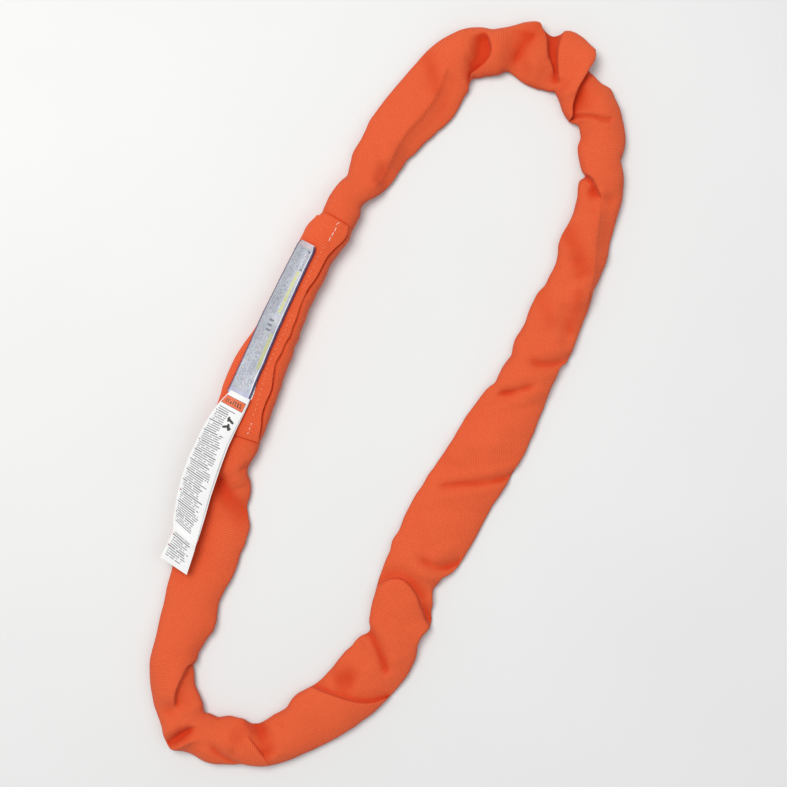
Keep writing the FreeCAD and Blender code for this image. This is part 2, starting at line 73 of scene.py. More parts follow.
# ------------------------------------------------------------------ plan of the loop
# One station per row, clockwise seen from above, from the crown of the upper bight:
# x, y of the inner edge and x, y of the outer edge.
OUTLINE = np.array([
    (368.4, 34.6, 424.8, 52.5), (367.3, 27.5, 429.7, 41.6), (366.2, 20.5, 426.0, 29.4),
    (366.6, 14.0, 427.0, 18.5), (367.6, 8.0, 437.7, 7.1), (369.4, 2.2, 438.7, -5.8),
    (370.5, -3.7, 434.6, -18.5), (372.8, -10.9, 428.9, -30.0), (369.0, -17.1, 411.0, -35.1),
    (363.9, -23.1, 406.2, -44.2), (357.7, -28.6, 402.7, -53.7), (353.5, -34.7, 402.3, -65.7),
    (352.2, -42.2, 394.9, -74.2), (352.0, -50.7, 386.3, -82.1), (347.1, -55.6, 376.9, -89.1),
    (340.7, -59.0, 368.1, -96.2), (332.4, -59.8, 359.3, -102.8), (325.4, -63.3, 349.6, -107.0),
    (318.7, -68.0, 339.7, -109.8), (311.8, -72.8, 330.8, -114.4), (305.2, -78.6, 321.7, -118.9),
    (296.2, -78.3, 312.2, -122.8), (288.7, -81.4, 302.7, -126.6), (281.1, -85.2, 292.7, -128.9),
    (272.9, -87.2, 282.7, -130.3), (264.3, -89.1, 273.0, -131.8), (255.2, -89.2, 263.7, -133.9),
    (245.7, -88.9, 254.7, -136.1), (236.4, -89.0, 245.8, -138.9), (227.4, -91.0, 236.7, -141.6),
    (219.1, -94.8, 227.3, -143.8), (210.8, -97.5, 217.5, -145.1), (202.3, -98.3, 207.5, -146.1),
    (193.7, -98.0, 197.6, -146.7), (184.9, -97.8, 187.9, -148.2), (175.8, -95.9, 178.4, -149.5),
    (166.6, -94.7, 169.1, -149.9), (157.3, -94.6, 159.8, -151.1), (148.2, -96.1, 150.5, -152.3),
    (139.3, -97.7, 141.0, -153.4), (130.4, -96.9, 131.3, -155.0), (121.6, -95.6, 121.5, -155.3),
    (112.7, -96.6, 111.9, -152.3), (103.7, -97.7, 102.3, -152.4), (94.7, -96.4, 92.8, -152.4),
    (85.5, -95.0, 83.4, -152.6), (76.3, -94.2, 74.1, -152.8), (67.0, -92.8, 64.8, -153.8),
    (57.6, -90.9, 55.6, -154.0), (48.2, -89.8, 46.5, -155.0), (38.7, -88.8, 37.4, -156.2),
    (29.3, -87.6, 28.2, -156.3), (20.1, -86.3, 18.8, -157.7), (11.1, -86.4, 9.2, -158.0),
    (2.3, -86.1, -0.6, -158.2), (-6.4, -86.0, -10.5, -158.0), (-15.1, -85.2, -20.3, -157.1),
    (-24.0, -84.5, -29.9, -155.8), (-33.1, -83.4, -39.3, -154.8), (-42.5, -82.1, -48.4, -153.5),
    (-52.0, -80.3, -57.3, -153.3), (-61.7, -79.7, -66.2, -153.0), (-71.3, -79.1, -75.2, -153.0),
    (-80.8, -78.4, -84.2, -153.1), (-90.1, -78.2, -93.5, -152.9), (-99.4, -78.3, -102.8, -152.3),
    (-108.7, -78.4, -112.1, -152.1), (-118.2, -78.5, -121.1, -151.2), (-128.1, -79.0, -129.7, -148.5),
    (-138.4, -81.8, -137.9, -143.9), (-148.9, -82.7, -146.0, -142.3), (-159.7, -83.4, -153.8, -141.8),
    (-170.6, -83.2, -161.4, -144.4), (-181.2, -84.3, -168.8, -148.1), (-190.9, -86.5, -176.8, -151.1),
    (-199.6, -89.3, -185.3, -155.7), (-207.4, -92.2, -195.3, -157.9), (-214.5, -95.5, -206.6, -156.3),
    (-221.3, -100.1, -218.1, -155.0), (-228.4, -100.2, -229.5, -156.8), (-235.2, -95.4, -241.1, -157.2),
    (-242.0, -93.1, -252.5, -157.0), (-249.4, -91.7, -263.3, -154.9), (-256.8, -88.8, -273.5, -151.9),
    (-264.6, -86.9, -283.6, -149.3), (-272.6, -85.1, -293.5, -146.1), (-280.6, -83.3, -303.1, -142.1),
    (-288.7, -81.5, -312.3, -136.9), (-296.7, -79.1, -321.6, -132.5), (-304.1, -74.9, -330.2, -127.1),
    (-311.1, -69.6, -338.8, -122.2), (-318.5, -65.0, -347.0, -116.9), (-326.9, -62.1, -355.3, -111.6),
    (-336.0, -61.0, -363.6, -106.0), (-343.5, -57.7, -371.7, -99.3), (-350.2, -53.9, -380.3, -92.8),
    (-356.8, -50.4, -388.8, -85.6), (-362.9, -46.6, -397.1, -77.7), (-368.2, -41.8, -404.2, -68.6),
    (-370.0, -34.4, -409.9, -58.8), (-369.6, -25.9, -415.1, -49.0), (-372.2, -19.1, -421.1, -39.8),
    (-375.3, -12.5, -425.7, -29.9), (-378.6, -6.2, -430.5, -19.6), (-382.7, -0.5, -432.9, -8.0),
    (-383.5, 5.2, -432.9, 4.4), (-383.7, 10.3, -434.2, 17.6), (-385.1, 15.6, -436.0, 32.6),
    (-381.9, 19.8, -427.3, 44.1), (-376.7, 23.0, -416.2, 52.3), (-372.8, 27.6, -407.5, 60.5),
    (-368.3, 32.7, -399.3, 68.4), (-363.7, 38.4, -390.2, 74.9), (-357.4, 42.2, -381.0, 81.3),
    (-350.9, 45.4, -371.4, 87.4), (-344.4, 48.8, -361.2, 92.2), (-336.6, 48.9, -350.4, 95.0),
    (-329.3, 51.4, -340.0, 97.5), (-320.8, 51.0, -330.1, 99.8), (-311.9, 50.5, -320.5, 101.5),
    (-302.2, 48.0, -311.4, 103.6), (-292.9, 49.3, -302.6, 105.9), (-284.0, 52.7, -293.8, 108.7),
    (-275.2, 55.9, -284.8, 111.1), (-266.1, 56.4, -275.5, 112.7), (-256.9, 56.3, -266.3, 114.5),
    (-247.4, 55.4, -257.3, 117.2), (-237.9, 56.1, -248.5, 119.5), (-228.3, 57.5, -239.8, 121.8),
    (-218.7, 59.6, -231.4, 123.6), (-208.3, 59.1, -223.0, 125.4), (-198.3, 60.6, -214.8, 127.3),
    (-188.5, 63.2, -206.5, 129.2), (-179.9, 68.9, -198.0, 131.0), (-171.6, 74.4, -189.3, 133.1),
    (-162.5, 76.6, -180.3, 135.0), (-153.8, 79.2, -170.9, 136.7), (-145.9, 83.2, -161.2, 138.4),
    (-138.5, 88.7, -151.6, 140.7), (-130.5, 91.6, -141.6, 142.5), (-121.9, 92.1, -131.8, 144.2),
    (-113.0, 91.8, -122.1, 146.2), (-104.2, 93.2, -112.6, 147.7), (-95.2, 94.5, -103.3, 149.4),
    (-85.9, 95.4, -94.0, 150.3), (-76.8, 96.7, -85.0, 152.7), (-67.8, 98.3, -75.6, 154.0),
    (-58.9, 99.2, -66.2, 156.3), (-50.3, 100.2, -56.4, 158.3), (-41.9, 101.2, -46.4, 158.9),
    (-33.5, 103.1, -36.3, 159.6), (-25.0, 104.5, -26.3, 158.6), (-16.1, 105.4, -16.7, 157.7),
    (-6.8, 105.5, -7.4, 156.8), (2.6, 108.0, 1.7, 151.1), (12.1, 108.3, 10.8, 151.6),
    (21.5, 110.5, 19.8, 151.6), (30.9, 110.9, 29.1, 151.8), (40.1, 112.1, 38.4, 151.9),
    (49.2, 113.2, 47.8, 151.8), (58.4, 113.2, 57.2, 152.1), (67.5, 114.0, 66.6, 152.3),
    (76.7, 113.1, 76.1, 152.5), (85.8, 113.2, 85.5, 152.6), (94.8, 114.6, 95.1, 152.6),
    (103.7, 114.1, 104.7, 154.3), (112.5, 112.8, 114.4, 154.8), (121.4, 110.8, 123.9, 154.8),
    (130.5, 109.4, 133.1, 153.2), (139.8, 110.0, 142.1, 149.8), (149.0, 110.3, 151.3, 149.8),
    (158.0, 110.2, 160.7, 150.3), (167.0, 112.4, 170.3, 149.6), (175.6, 110.8, 179.9, 148.3),
    (184.1, 107.1, 189.2, 146.4), (192.7, 101.9, 198.4, 146.2), (201.8, 98.9, 207.5, 147.2),
    (211.2, 97.6, 216.8, 150.2), (220.5, 97.7, 226.0, 150.6), (229.3, 96.5, 235.4, 149.5),
    (237.9, 95.4, 245.2, 148.3), (246.0, 92.1, 255.4, 148.7), (254.3, 89.8, 265.3, 147.4),
    (262.7, 87.5, 275.0, 145.7), (271.2, 84.1, 284.5, 144.2), (280.0, 81.0, 293.7, 142.7),
    (289.0, 77.7, 302.6, 141.0), (298.2, 74.9, 311.3, 138.6), (307.4, 73.9, 320.2, 136.5),
    (316.1, 73.4, 329.6, 134.3), (324.0, 73.4, 340.0, 132.0), (330.7, 73.0, 350.9, 128.6),
    (337.9, 74.8, 362.1, 123.5), (344.3, 74.1, 372.8, 116.8), (347.8, 68.8, 383.3, 109.7),
    (351.7, 63.9, 391.7, 100.8), (355.6, 58.5, 397.8, 90.7), (359.7, 52.9, 401.6, 79.7),
    (365.1, 47.9, 408.3, 70.7), (368.1, 41.7, 416.3, 61.9),
])
STATIONS = len(OUTLINE)
LOOP = 1829.0                   # length of the leg right round the loop
STEP = LOOP / STATIONS
TRIM = 0.7                      # the cloth run lets the web out by about this much
WEB_GIRTH = 140.0               # round the leg, for the UV maps
SLEEVE_START, SLEEVE_END = 142.2, 169.2     # stations on the tag leg
TAG_START, TAG_END = 146.55, 165.3
SLEEVE_LENGTH, SLEEVE_GIRTH = 247.0, 150.0

# Folds of the cover: kind, path of (station, place across the leg from -1 outer to 1 inner),
# depth, width, and for shelves and laps the high side (1 left of the path, -1 right).
Fold = namedtuple("Fold", "kind path depth width high", defaults=(0,))
FOLDS = [Fold(*row) for row in [
    ("shelf", [(191.61, -0.12), (188.32, 0.22), (185.08, 0.41), (181.4, 0.39), (179.25, 0.55),
               (176.81, 0.62), (174.02, 0.5)], 5.2, 8, 1),
    ("trough", [(178.37, 0.52), (176.52, 0.63), (175.05, 0.51)], 4, 8),
    ("bump", [(177.29, -0.2)], 2.5, 15),
    ("trough", [(189.94, -0.7), (189.11, -0.15), (187.69, 0.22)], 3, 10),
    ("trough", [(195.69, -0.77), (195.76, -0.42), (195.25, 0.07), (194.25, 0.43), (192.84, 0.72)],
     5.8, 9.5),
    ("lap", [(196.0, -0.75), (196.6, -0.23), (196.44, 0.26), (195.31, 0.63), (193.26, 0.83)],
     7.5, 7, -1),
    ("bump", [(192.63, -0.26)], 2.5, 18),
    ("trough", [(0.76, -0.76), (0.07, -0.33), (-0.53, 0.14), (-0.26, 0.69), (1.22, 0.97)], 4.6, 11),
    ("crease", [(1.49, -0.7), (0.63, -0.26), (-0.03, 0.17), (-0.51, 0.7)], 2.4, 6),
    ("bump", [(2.04, 0.17)], 4, 13),
    ("lap", [(1.4, -0.96), (2.34, -0.77), (3.08, -0.19), (4.26, 0.35), (5.56, 0.63)], 6, 6, 1),
    ("trough", [(2.95, -0.98), (3.41, -0.43), (4.07, 0.16)], 3, 6.5),
    ("lap", [(3.65, -1.08), (3.78, -0.57), (4.19, -0.14), (5.04, 0.3), (6.72, 0.75)], 6.2, 5.5, -1),
    ("bump", [(5.67, -0.48)], 3, 15),
    ("lap", [(6.84, -1.0), (7.58, -0.88), (7.89, -0.42), (8.69, 0.22), (11.06, 0.88)], 9, 7.5, 1),
    ("dent", [(9.85, 0.19)], 4.5, 11),
    ("crease", [(11.53, 0.82), (12.33, 0.46), (13.56, -0.01), (13.8, -0.6)], 2.6, 4),
    ("bump", [(10.98, -0.34)], 2.5, 16),
    ("lap", [(19.84, 0.88), (20.81, 0.43), (21.91, 0.12), (23.1, -0.09)], 7, 6, -1),
    ("trough", [(21.1, 0.63), (22.84, 0.33), (24.86, 0.02)], 3.6, 8),
    ("shelf", [(21.44, 0.15), (24.19, -0.07), (27.13, -0.4), (29.82, -0.59), (32.65, -0.83)],
     3.2, 7, 1),
    ("bump", [(29.33, 0.51)], 2.6, 9),
    ("trough", [(27.35, 0.92), (29.16, 0.4), (31.24, 0.06), (32.66, -0.29)], 3.2, 9),
    ("trough", [(21.62, -0.26), (23.78, -0.55), (27.42, -0.85)], 2.2, 8),
    ("trough", [(34.19, 0.91), (33.39, 0.47), (33.59, -0.21)], 1.6, 9),
    ("trough", [(72.52, 1.1), (71.07, 0.67), (70.56, 0.14), (71.68, -0.48), (73.3, -0.73),
                (74.75, -0.91)], 3.4, 9),
    ("lap", [(72.87, 0.98), (71.57, 0.61), (71.16, 0.19), (72.08, -0.32), (73.76, -0.61),
             (74.98, -0.78), (75.54, -0.99)], 3.9, 8.5, 1),
    ("bump", [(75.08, 0.29)], 2.5, 18),
    ("crease", [(78.76, 0.89), (79.79, 0.36), (81.05, -0.1), (82.29, -0.58)], 4.6, 8),
    ("trough", [(87.67, 0.6), (85.29, 0.43), (84.39, 0.02)], 5, 13),
    ("lap", [(89.17, 0.91), (87.64, 0.34), (86.38, -0.31), (85.13, -0.77), (83.89, -0.99)],
     5, 10, 1),
    ("dent", [(97.59, 0.71)], 5.5, 11),
    ("trough", [(98.96, 1.1), (97.94, 0.75), (97.4, 0.13), (97.01, -0.64)], 4.6, 9),
    ("trough", [(97.45, 0.21), (96.07, 0.43), (94.14, 0.68)], 3, 8),
    ("lap", [(99.73, 0.48), (98.77, 0.18), (97.99, -0.26), (97.24, -0.95)], 3, 5, 1),
    ("bump", [(102.11, -0.01)], 2.5, 13),
    ("crease", [(101.52, -0.01), (101.04, -0.33), (100.68, -0.73)], 2.4, 6),
    ("crease", [(107.36, -0.88), (107.1, -0.21), (106.43, 0.52)], 7, 6),
    ("ridge", [(106.75, -0.9), (106.0, -0.32), (104.35, 0.22)], 2.5, 6),
    ("crease", [(104.27, 0.14), (102.57, -0.49), (100.77, -0.86)], 3.2, 7),
    ("lap", [(114.99, 0.8), (112.73, 0.34), (110.91, -0.02), (109.63, -0.09)], 5, 6, 1),
    ("trough", [(113.54, 0.87), (111.1, 0.52), (108.76, 0.32)], 3.6, 9),
    ("dent", [(110.05, -0.32)], 4.5, 10),
    ("dent", [(105.75, 0.07)], 3, 9),
    ("crease", [(42.54, 0.57), (42.8, 0.02), (42.03, -0.5), (40.54, -0.97)], 4.2, 9),
    ("crease", [(48.5, 0.74), (47.34, 0.37), (46.15, -0.02), (44.5, -0.5)], 4.3, 8.5),
    ("crease", [(60.79, 0.73), (58.62, 0.03), (56.82, -0.52), (54.99, -1.03)], 3.4, 7),
    ("crease", [(67.73, 0.28), (68.45, -0.18), (68.03, -0.65), (66.42, -0.97)], 4.6, 9.5),
    ("trough", [(35.05, 0.11), (37.01, -0.54), (40.17, -0.72)], 3.4, 8),
    ("trough", [(35.49, 0.84), (37.06, 0.09), (39.13, -0.38)], 2.2, 10),
    ("trough", [(52.0, 0.8), (54.05, 0.22), (57.53, -0.02)], 2.4, 11),
    ("swell", [(49.27, 0.15), (52.76, -0.11), (57.62, 0.21)], 1.2, 12),
    ("trough", [(137.54, -0.36), (135.85, -0.05), (134.5, 0.45), (133.55, 0.88)], 6.2, 9),
    ("crease", [(139.06, 0.98), (137.98, 0.58)], 2.5, 6),
    ("bump", [(138.13, 0.42)], 2, 12),
    ("swell", [(137.21, 0.31), (135.75, 0.56)], 1.5, 10),
]]
BIG_FOLDS = [fold for fold in FOLDS if fold.kind in ("dent", "bump")
             or (fold.kind != "lap" and fold.width >= 7)]
SHARP_FOLDS = [fold for fold in FOLDS if fold not in BIG_FOLDS]
# Painted shade: patches of darker, fuller colour where the web lies in the shade of folds: path,
# strength of the painted shade, width.
SHADES = [Fold("swell", *row) for row in [
    ([(190.15, -0.83), (189.16, -0.24), (187.34, 0.38)], 0.5, 8),
    ([(177.95, 0.52), (176.18, 0.59), (174.73, 0.52)], 0.45, 7),
    ([(27.39, 0.84), (29.45, 0.18), (31.99, -0.46)], 0.6, 9),
    ([(1.05, -0.82), (0.24, -0.32), (-0.48, 0.26), (0.03, 0.78)], 0.45, 10),
    ([(87.21, 0.62), (85.12, 0.44), (84.59, -0.0)], 0.8, 13),
    ([(99.32, 0.96), (97.81, 0.75), (96.51, 0.41)], 0.7, 9),
    ([(97.75, 0.45), (97.28, -0.15), (96.94, -0.65)], 0.5, 7),
    ([(102.07, 0.57), (100.84, 0.38), (99.42, 0.23)], 0.35, 9),
    ([(136.46, -0.34), (134.95, 0.07), (134.09, 0.51), (133.09, 0.83)], 0.6, 12),
    ([(32.7, -0.22), (35.32, -0.55), (38.42, -0.75)], 0.45, 6),
    ([(34.99, 1.1), (36.49, 0.61), (38.49, -0.09)], 0.3, 9),
]]


# ------------------------------------------------------------------ tables and grids
def sample_closed(table, at):
    """Smooth values of a closed table at fractional rows."""
    at = np.asarray(at, float)
    row = np.floor(at).astype(int)
    t = (at - row).reshape(at.shape + (1,) * (table.ndim - 1))
    a, b, c, d = (table[(row + j) % len(table)] for j in (-1, 0, 1, 2))
    return 0.5 * (2 * b + (c - a) * t + (2 * a - 5 * b + 4 * c - d) * t * t
                  + (3 * b - a - 3 * c + d) * t ** 3)


def resample(table, rows, columns):
    """Smoothly resamples a grid that is closed both ways."""
    table = sample_closed(table, np.arange(rows) * table.shape[0] / rows)
    turned = np.swapaxes(table, 0, 1)
    at = np.arange(columns) * turned.shape[0] / columns
    return np.swapaxes(sample_closed(turned, at), 0, 1)


def soften(table, times, axis=0):
    """Averages a closed table with its neighbours."""
    for _ in range(times):
        table = (np.roll(table, 1, axis) + 2 * table + np.roll(table, -1, axis)) / 4
    return table


def soften_grid(table, times):
    for _ in range(times):
        table = soften(soften(table, 1), 1, axis=1)
    return table


def soften_open(table, times=1):
    """Averages an open table with its neighbours, its two ends kept."""
    for _ in range(times):
        table = table.copy()
        table[1:-1] = (table[:-2] + 2 * table[1:-1] + table[2:]) / 4
    return table


def ease(low, high, x):
    """Smooth step from 0 at low to 1 at high."""
    t = np.clip((x - low) / (high - low), 0, 1)
    return t * t * (3 - 2 * t)


def unit(vectors, guard=0.0):
    return vectors / (np.linalg.norm(vectors, axis=-1, keepdims=True) + guard)


def rolled(table, axis=0):
    """The table shifted by up to two places either way, for a running least or most."""
    return [np.roll(table, k, axis) for k in (-2, -1, 0, 1, 2)]


def grid_normals(points, closed_along=True):
    """Outward unit normals of a grid that is closed round the section."""
    if closed_along:
        along = np.roll(points, -1, 0) - np.roll(points, 1, 0)
    else:
        along = np.gradient(points, axis=0)
    around = np.roll(points, -1, 1) - np.roll(points, 1, 1)
    return unit(np.cross(around, along), guard=1e-12)


def outward(line):
    """Level unit directions square to a closed line, towards the outside of the loop."""
    ahead = np.roll(line, -1, 0) - np.roll(line, 1, 0)
    ahead[:, 2] = 0
    ahead = unit(ahead)
    return np.stack([-ahead[:, 1], ahead[:, 0], 0 * ahead[:, 0]], -1)


# ------------------------------------------------------------------ shape of the leg
INNER, OUTER = OUTLINE[:, :2].copy(), OUTLINE[:, 2:].copy()
# The outer edge under the tag is carried on smoothly.
OUTER[147:159] = soften_open(OUTER[147:159], 6)
HALF = np.linalg.norm(INNER - OUTER, axis=1) / 2
# A wider leg lies flatter: height at the typical half width, and its loss per mm of half width.
TYPICAL_HEIGHT, TYPICAL_HALF, FLATTENING = 21.8, 28.6, 0.62
HEIGHT = soften(np.clip(TYPICAL_HEIGHT - FLATTENING * (HALF - TYPICAL_HALF), 17.5, 26.5), 2)
# Per grid point: station, angle (0 outer edge, pi/2 top, pi inner edge), place across the leg
# from -1 outer to 1 inner, half width, and plan direction across, towards the inner edge.
Grid = namedtuple("Grid", "station angle place half across")


def in_sleeve(station, pad):
    """1 under the sleeve and 0 outside it, with a ramp of pad stations at each end."""
    return (ease(SLEEVE_START - pad, SLEEVE_START + 0.2, station)
            * (1 - ease(SLEEVE_END - 0.2, SLEEVE_END + pad, station)))


def tucked(station):
    """How far the cover draws in under the sleeve: a little at the mouths, more further in."""
    mouth = (ease(SLEEVE_START - 0.35, SLEEVE_START + 0.25, station)
             * (1 - ease(SLEEVE_END - 0.25, SLEEVE_END + 0.35, station)))
    deep = (ease(SLEEVE_START + 0.2, SLEEVE_START + 1.8, station)
            * (1 - ease(SLEEVE_END - 1.8, SLEEVE_END - 0.2, station)))
    return 1.1 * mouth + 2.5 * deep


def cross_line(station):
    """Middle of the leg in plan, half its width, and the direction to its inner edge."""
    inner, outer = sample_closed(INNER, station), sample_closed(OUTER, station)
    half = np.linalg.norm(inner - outer, axis=-1) / 2
    return (inner + outer) / 2, half, (inner - outer) / (2 * half[..., None])


def section(station, angle, shrink):
    """Points of the leg's surface, drawn in by shrink, and their Grid."""
    middle, half, across = cross_line(station)
    half = half - shrink - TRIM
    side, rise = -np.cos(angle), np.sin(angle)
    loose = 1 - in_sleeve(station, 9.0)          # the section is rounder away from the sleeve
    place = np.sign(side) * np.abs(side) ** (0.88 + 0.05 * loose)
    top = sample_closed(HEIGHT, station) - shrink
    low = 0.4 + shrink * 0.8
    waist = low + (top - low) * 0.42
    points = np.empty(station.shape + (3,))
    points[..., :2] = middle + across * (place * half)[..., None]
    points[..., 2] = np.where(
        rise >= 0,
        waist + (top - waist) * np.abs(rise) ** (0.78 + 0.14 * loose),
        waist - (waist - low) * np.abs(rise) ** 0.62)
    return points, Grid(station, angle, place, half, across)


def loop_grid(rows, columns):
    """Stations and angles of a grid right round the loop."""
    station = np.arange(rows)[:, None] * (STATIONS / rows) * np.ones((1, columns))
    angle = np.ones((rows, 1)) * (np.arange(columns)[None, :] * 2 * math.pi / columns)
    return station, angle


# ------------------------------------------------------------------ folds
def nearest(x, y, path):
    """Signed distance to a path (left positive), its normal, the run along it, its length."""
    best = np.full(x.shape, 1e9)
    along = np.zeros(x.shape)
    side = np.ones(x.shape)
    normal = np.zeros(x.shape + (2,))
    gone = 0.0
    for start, end in zip(path[:-1], path[1:]):
        dx, dy = end - start
        length = math.hypot(dx, dy)
        t = np.clip(((x - start[0]) * dx + (y - start[1]) * dy) / length ** 2, 0, 1)
        off_x, off_y = x - start[0] - t * dx, y - start[1] - t * dy
        distance = np.hypot(off_x, off_y)
        closer = distance < best
        best = np.where(closer, distance, best)
        along = np.where(closer, gone + t * length, along)
        gone += length
        left = (-dy / length, dx / length)
        side = np.where(closer, np.where(off_x * left[0] + off_y * left[1] >= 0, 1.0, -1.0), side)
        normal[closer] = left
    return best * side, normal, along, gone


def rounded(path):
    """A path with its corners cut twice, its two ends kept."""
    path = np.asarray(path, float)
    if len(path) < 3:
        return path
    for _ in range(2):
        start, end = path[:-1], path[1:]
        cut = np.empty((2 * len(start), 2))
        cut[0::2], cut[1::2] = 0.75 * start + 0.25 * end, 0.25 * start + 0.75 * end
        cut[0], cut[-1] = path[0], path[-1]
        path = cut
    return path


def relief(x, y, fold, path, runs_off):
    """Rise of the surface and its shift in the surface for one fold, both in mm.

    x runs along the leg and y across it. The fold fades out at its ends, unless runs_off says
    that it runs off over the side of the leg there."""
    kind, depth, width, high = fold.kind, fold.depth, fold.width, fold.high
    shift = np.zeros(x.shape + (2,))
    sign = -1 if kind in ("dent", "trough", "crease") else 1
    if kind in ("dent", "bump"):
        distance = np.hypot(x - path[0][0], (y - path[0][1]) * 0.9)
        return sign * depth * np.exp(-(distance / width) ** 2), shift
    distance, normal, along, length = nearest(x, y, rounded(path))
    soft = kind in ("trough", "swell")
    fade = min((1.3 if soft else 2.0) * width, (0.38 if soft else 0.45) * length)
    taper = np.ones(x.shape)
    if not runs_off[0]:
        taper = taper * ease(0, fade, along)
    if not runs_off[1]:
        taper = taper * ease(0, fade, length - along)
    if soft:
        rise = sign * depth * np.exp(-(distance / width) ** 2)
    elif kind in ("crease", "ridge"):
        # a sharp line in a soft one, with a counter-fold along each side
        r = distance / width
        line = 0.58 * np.exp(-(r / 0.62) ** 2) + 0.42 / (1 + (3.0 * r) ** 2)
        rise = sign * (depth * line - 0.24 * depth * np.exp(-((np.abs(r) - 1.5) / 0.7) ** 2))
    elif kind == "shelf":
        # a step down from the high side that recovers slowly on the low side
        r = distance * high / width
        upper = 0.5 * (1 + np.tanh(r / 0.13))
        low = np.abs(np.minimum(r, 0))
        drop = 0.45 - 0.62 * (1 - np.exp(-low / 0.30)) - 0.43 * ease(0, 1.5, low)
        rise = depth * (0.45 * upper * np.exp(-(r / 1.7) ** 2)
                        + (1 - upper) * drop * np.exp(-(low / 2.7) ** 4))
    else:
        # a lap: its high side stands up and slides out over the low side
        r = distance * high
        upper = 0.5 * (1 + np.tanh(r / 0.9))
        rise = (upper * 0.5 * depth * np.exp(-(r / (1.9 * width)) ** 2)
                - (1 - upper) * 0.64 * depth * np.exp(-(np.abs(r) / (1.35 * width)) ** 1.3))
        lip = upper * 0.30 * depth * np.exp(-(r / (1.2 * width)) ** 2)
        shift = -normal * (high * lip)[..., None]
    return rise * taper, shift * taper[..., None]


def fold_all(points, grid, folds, top_only=True):
    """Applies folds to points on the leg; top_only fades them out towards its underside."""
    x, y = grid.station * STEP, grid.place * grid.half
    weight = np.ones_like(x)
    if top_only:
        weight = ease(-0.35, 0.45, np.sin(grid.angle))
    forward = np.stack([-grid.across[..., 1], grid.across[..., 0]], -1)
    out = points.copy()
    for fold in folds:
        centre = np.mean([station for station, _ in fold.path]) * STEP
        near_x = centre + (x - centre + LOOP / 2) % LOOP - LOOP / 2     # the shorter way round
        reach = 3.2 * fold.width + 6 + max(abs(q[0] * STEP - centre) for q in fold.path)
        rows = np.abs(near_x[:, 0] - centre) < reach
        if not rows.any():
            continue
        half = np.mean(grid.half[rows])
        path = [(station * STEP, place * half) for station, place in fold.path]
        runs_off = tuple(abs(fold.path[end][1]) > 0.78 for end in (0, -1))
        rise, shift = relief(near_x[rows], y[rows], fold, path, runs_off)
        w = weight[rows]
        out[rows, :, 2] += rise * w
        out[rows, :, :2] += (forward[rows] * shift[..., :1]
                             + grid.across[rows] * shift[..., 1:]) * w[..., None]
    return out


def random_folds(count, seed, depth, width, length):
    """Small creases and ridges strewn over the leg outside the sleeve; sizes are ranges."""
    draw = np.random.RandomState(seed)
    out = []
    while len(out) < count:
        station = draw.uniform(0, STATIONS)
        if SLEEVE_START - 2 < station < SLEEVE_END + 2:
            continue
        place = draw.uniform(-0.8, 0.8)
        heading = draw.normal(math.pi / 2, 0.6)
        size = draw.uniform(*length)
        d_place = math.sin(heading) * size / 27.0 / 2
        d_station = math.cos(heading) * size / STEP / 2
        bend = draw.uniform(-0.3, 0.3)
        path = [(station - d_station, place - d_place), (station + bend * d_station, place),
                (station + d_station, place + d_place)]
        kind = "crease" if draw.uniform() < 0.55 else "ridge"
        out.append(Fold(kind, path, draw.uniform(*depth), draw.uniform(*width)))
    return out


# ------------------------------------------------------------------ meshes
def mesh_object(name, verts, faces, uvs=None, normals=None):
    mesh = bpy.data.meshes.new(name)
    mesh.from_pydata([tuple(v) for v in verts], [], [tuple(f) for f in faces])
    if uvs is not None:
        layer = mesh.uv_layers.new(name="UVMap")
        layer.data.foreach_set("uv", np.asarray(uvs, np.float32).ravel())
    mesh.polygons.foreach_set("use_smooth", [True] * len(mesh.polygons))
    if normals is not None:
        mesh.normals_split_custom_set_from_vertices([tuple(n) for n in normals])
    mesh.update()
    o = bpy.data.objects.new(name, mesh)
    bpy.context.scene.collection.objects.link(o)
    return o


def dress(o, material):
    o.data.materials.append(material)


def edit_mesh(o, change):
    bm = bmesh.new()
    bm.from_mesh(o.data)
    change(bm)
    bm.to_mesh(o.data)
    bm.free()


def mark_sharp(o, degrees):
    """Creases the shading at rims, so that a thin sheet's edge stays crisp."""
    def change(bm):
        for edge in bm.edges:
            if len(edge.link_faces) == 2 and edge.calc_face_angle(0) > math.radians(degrees):
                edge.smooth = False
    edit_mesh(o, change)


# Lengths of the loop between two bodies: the two bodies each lies between, and from which x to which.
BENDS = {
    "upper_a": ("tag_section", "upper_legs_a", 145.0, 205.0),
    "upper_b": ("upper_legs_a", "upper_legs_b", 205.0, 265.0),
    "upper_c": ("upper_legs_b", "upper_bight", 265.0, 325.0),
    "lower_a": ("tag_section", "lower_legs", -262.5, -317.5),
    "lower_b": ("lower_legs", "lower_bight", -317.5, -372.5),
}
RIDES = {"tag_leg": "tag_section", "plain_leg": "tag_section",
         "upper_bight": "upper_bight", "lower_bight": "lower_bight"}
ZONES = ["tag_leg", "plain_leg", "upper_a", "upper_b", "upper_c", "upper_bight",
         "lower_a", "lower_b", "lower_bight"]
# How the CAD nodes name the zones; upper_c and lower_b have none.
NODE_ENDINGS = {"tag_leg": "tag_leg", "plain_leg": "plain_leg", "upper_a": "upper_legs_a",
                "upper_b": "upper_legs_b", "upper_bight": "upper_bight",
                "lower_a": "lower_legs", "lower_bight": "lower_bight"}


def zone_of(x, y):
    """Which length of the loop a place belongs to."""
    for zone, (_, _, start, end) in BENDS.items():
        if abs(start) <= x * np.sign(start) < abs(end):
            return zone
    if x >= BENDS["upper_c"][3]:
        return "upper_bight"
    if x <= BENDS["lower_b"][3]:
        return "lower_bight"
    return "tag_leg" if y > 0 else "plain_leg"


def attach(o, zone):
    if zone in BENDS:
        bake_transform(o)
    else:
        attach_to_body(o, RIDES[zone])


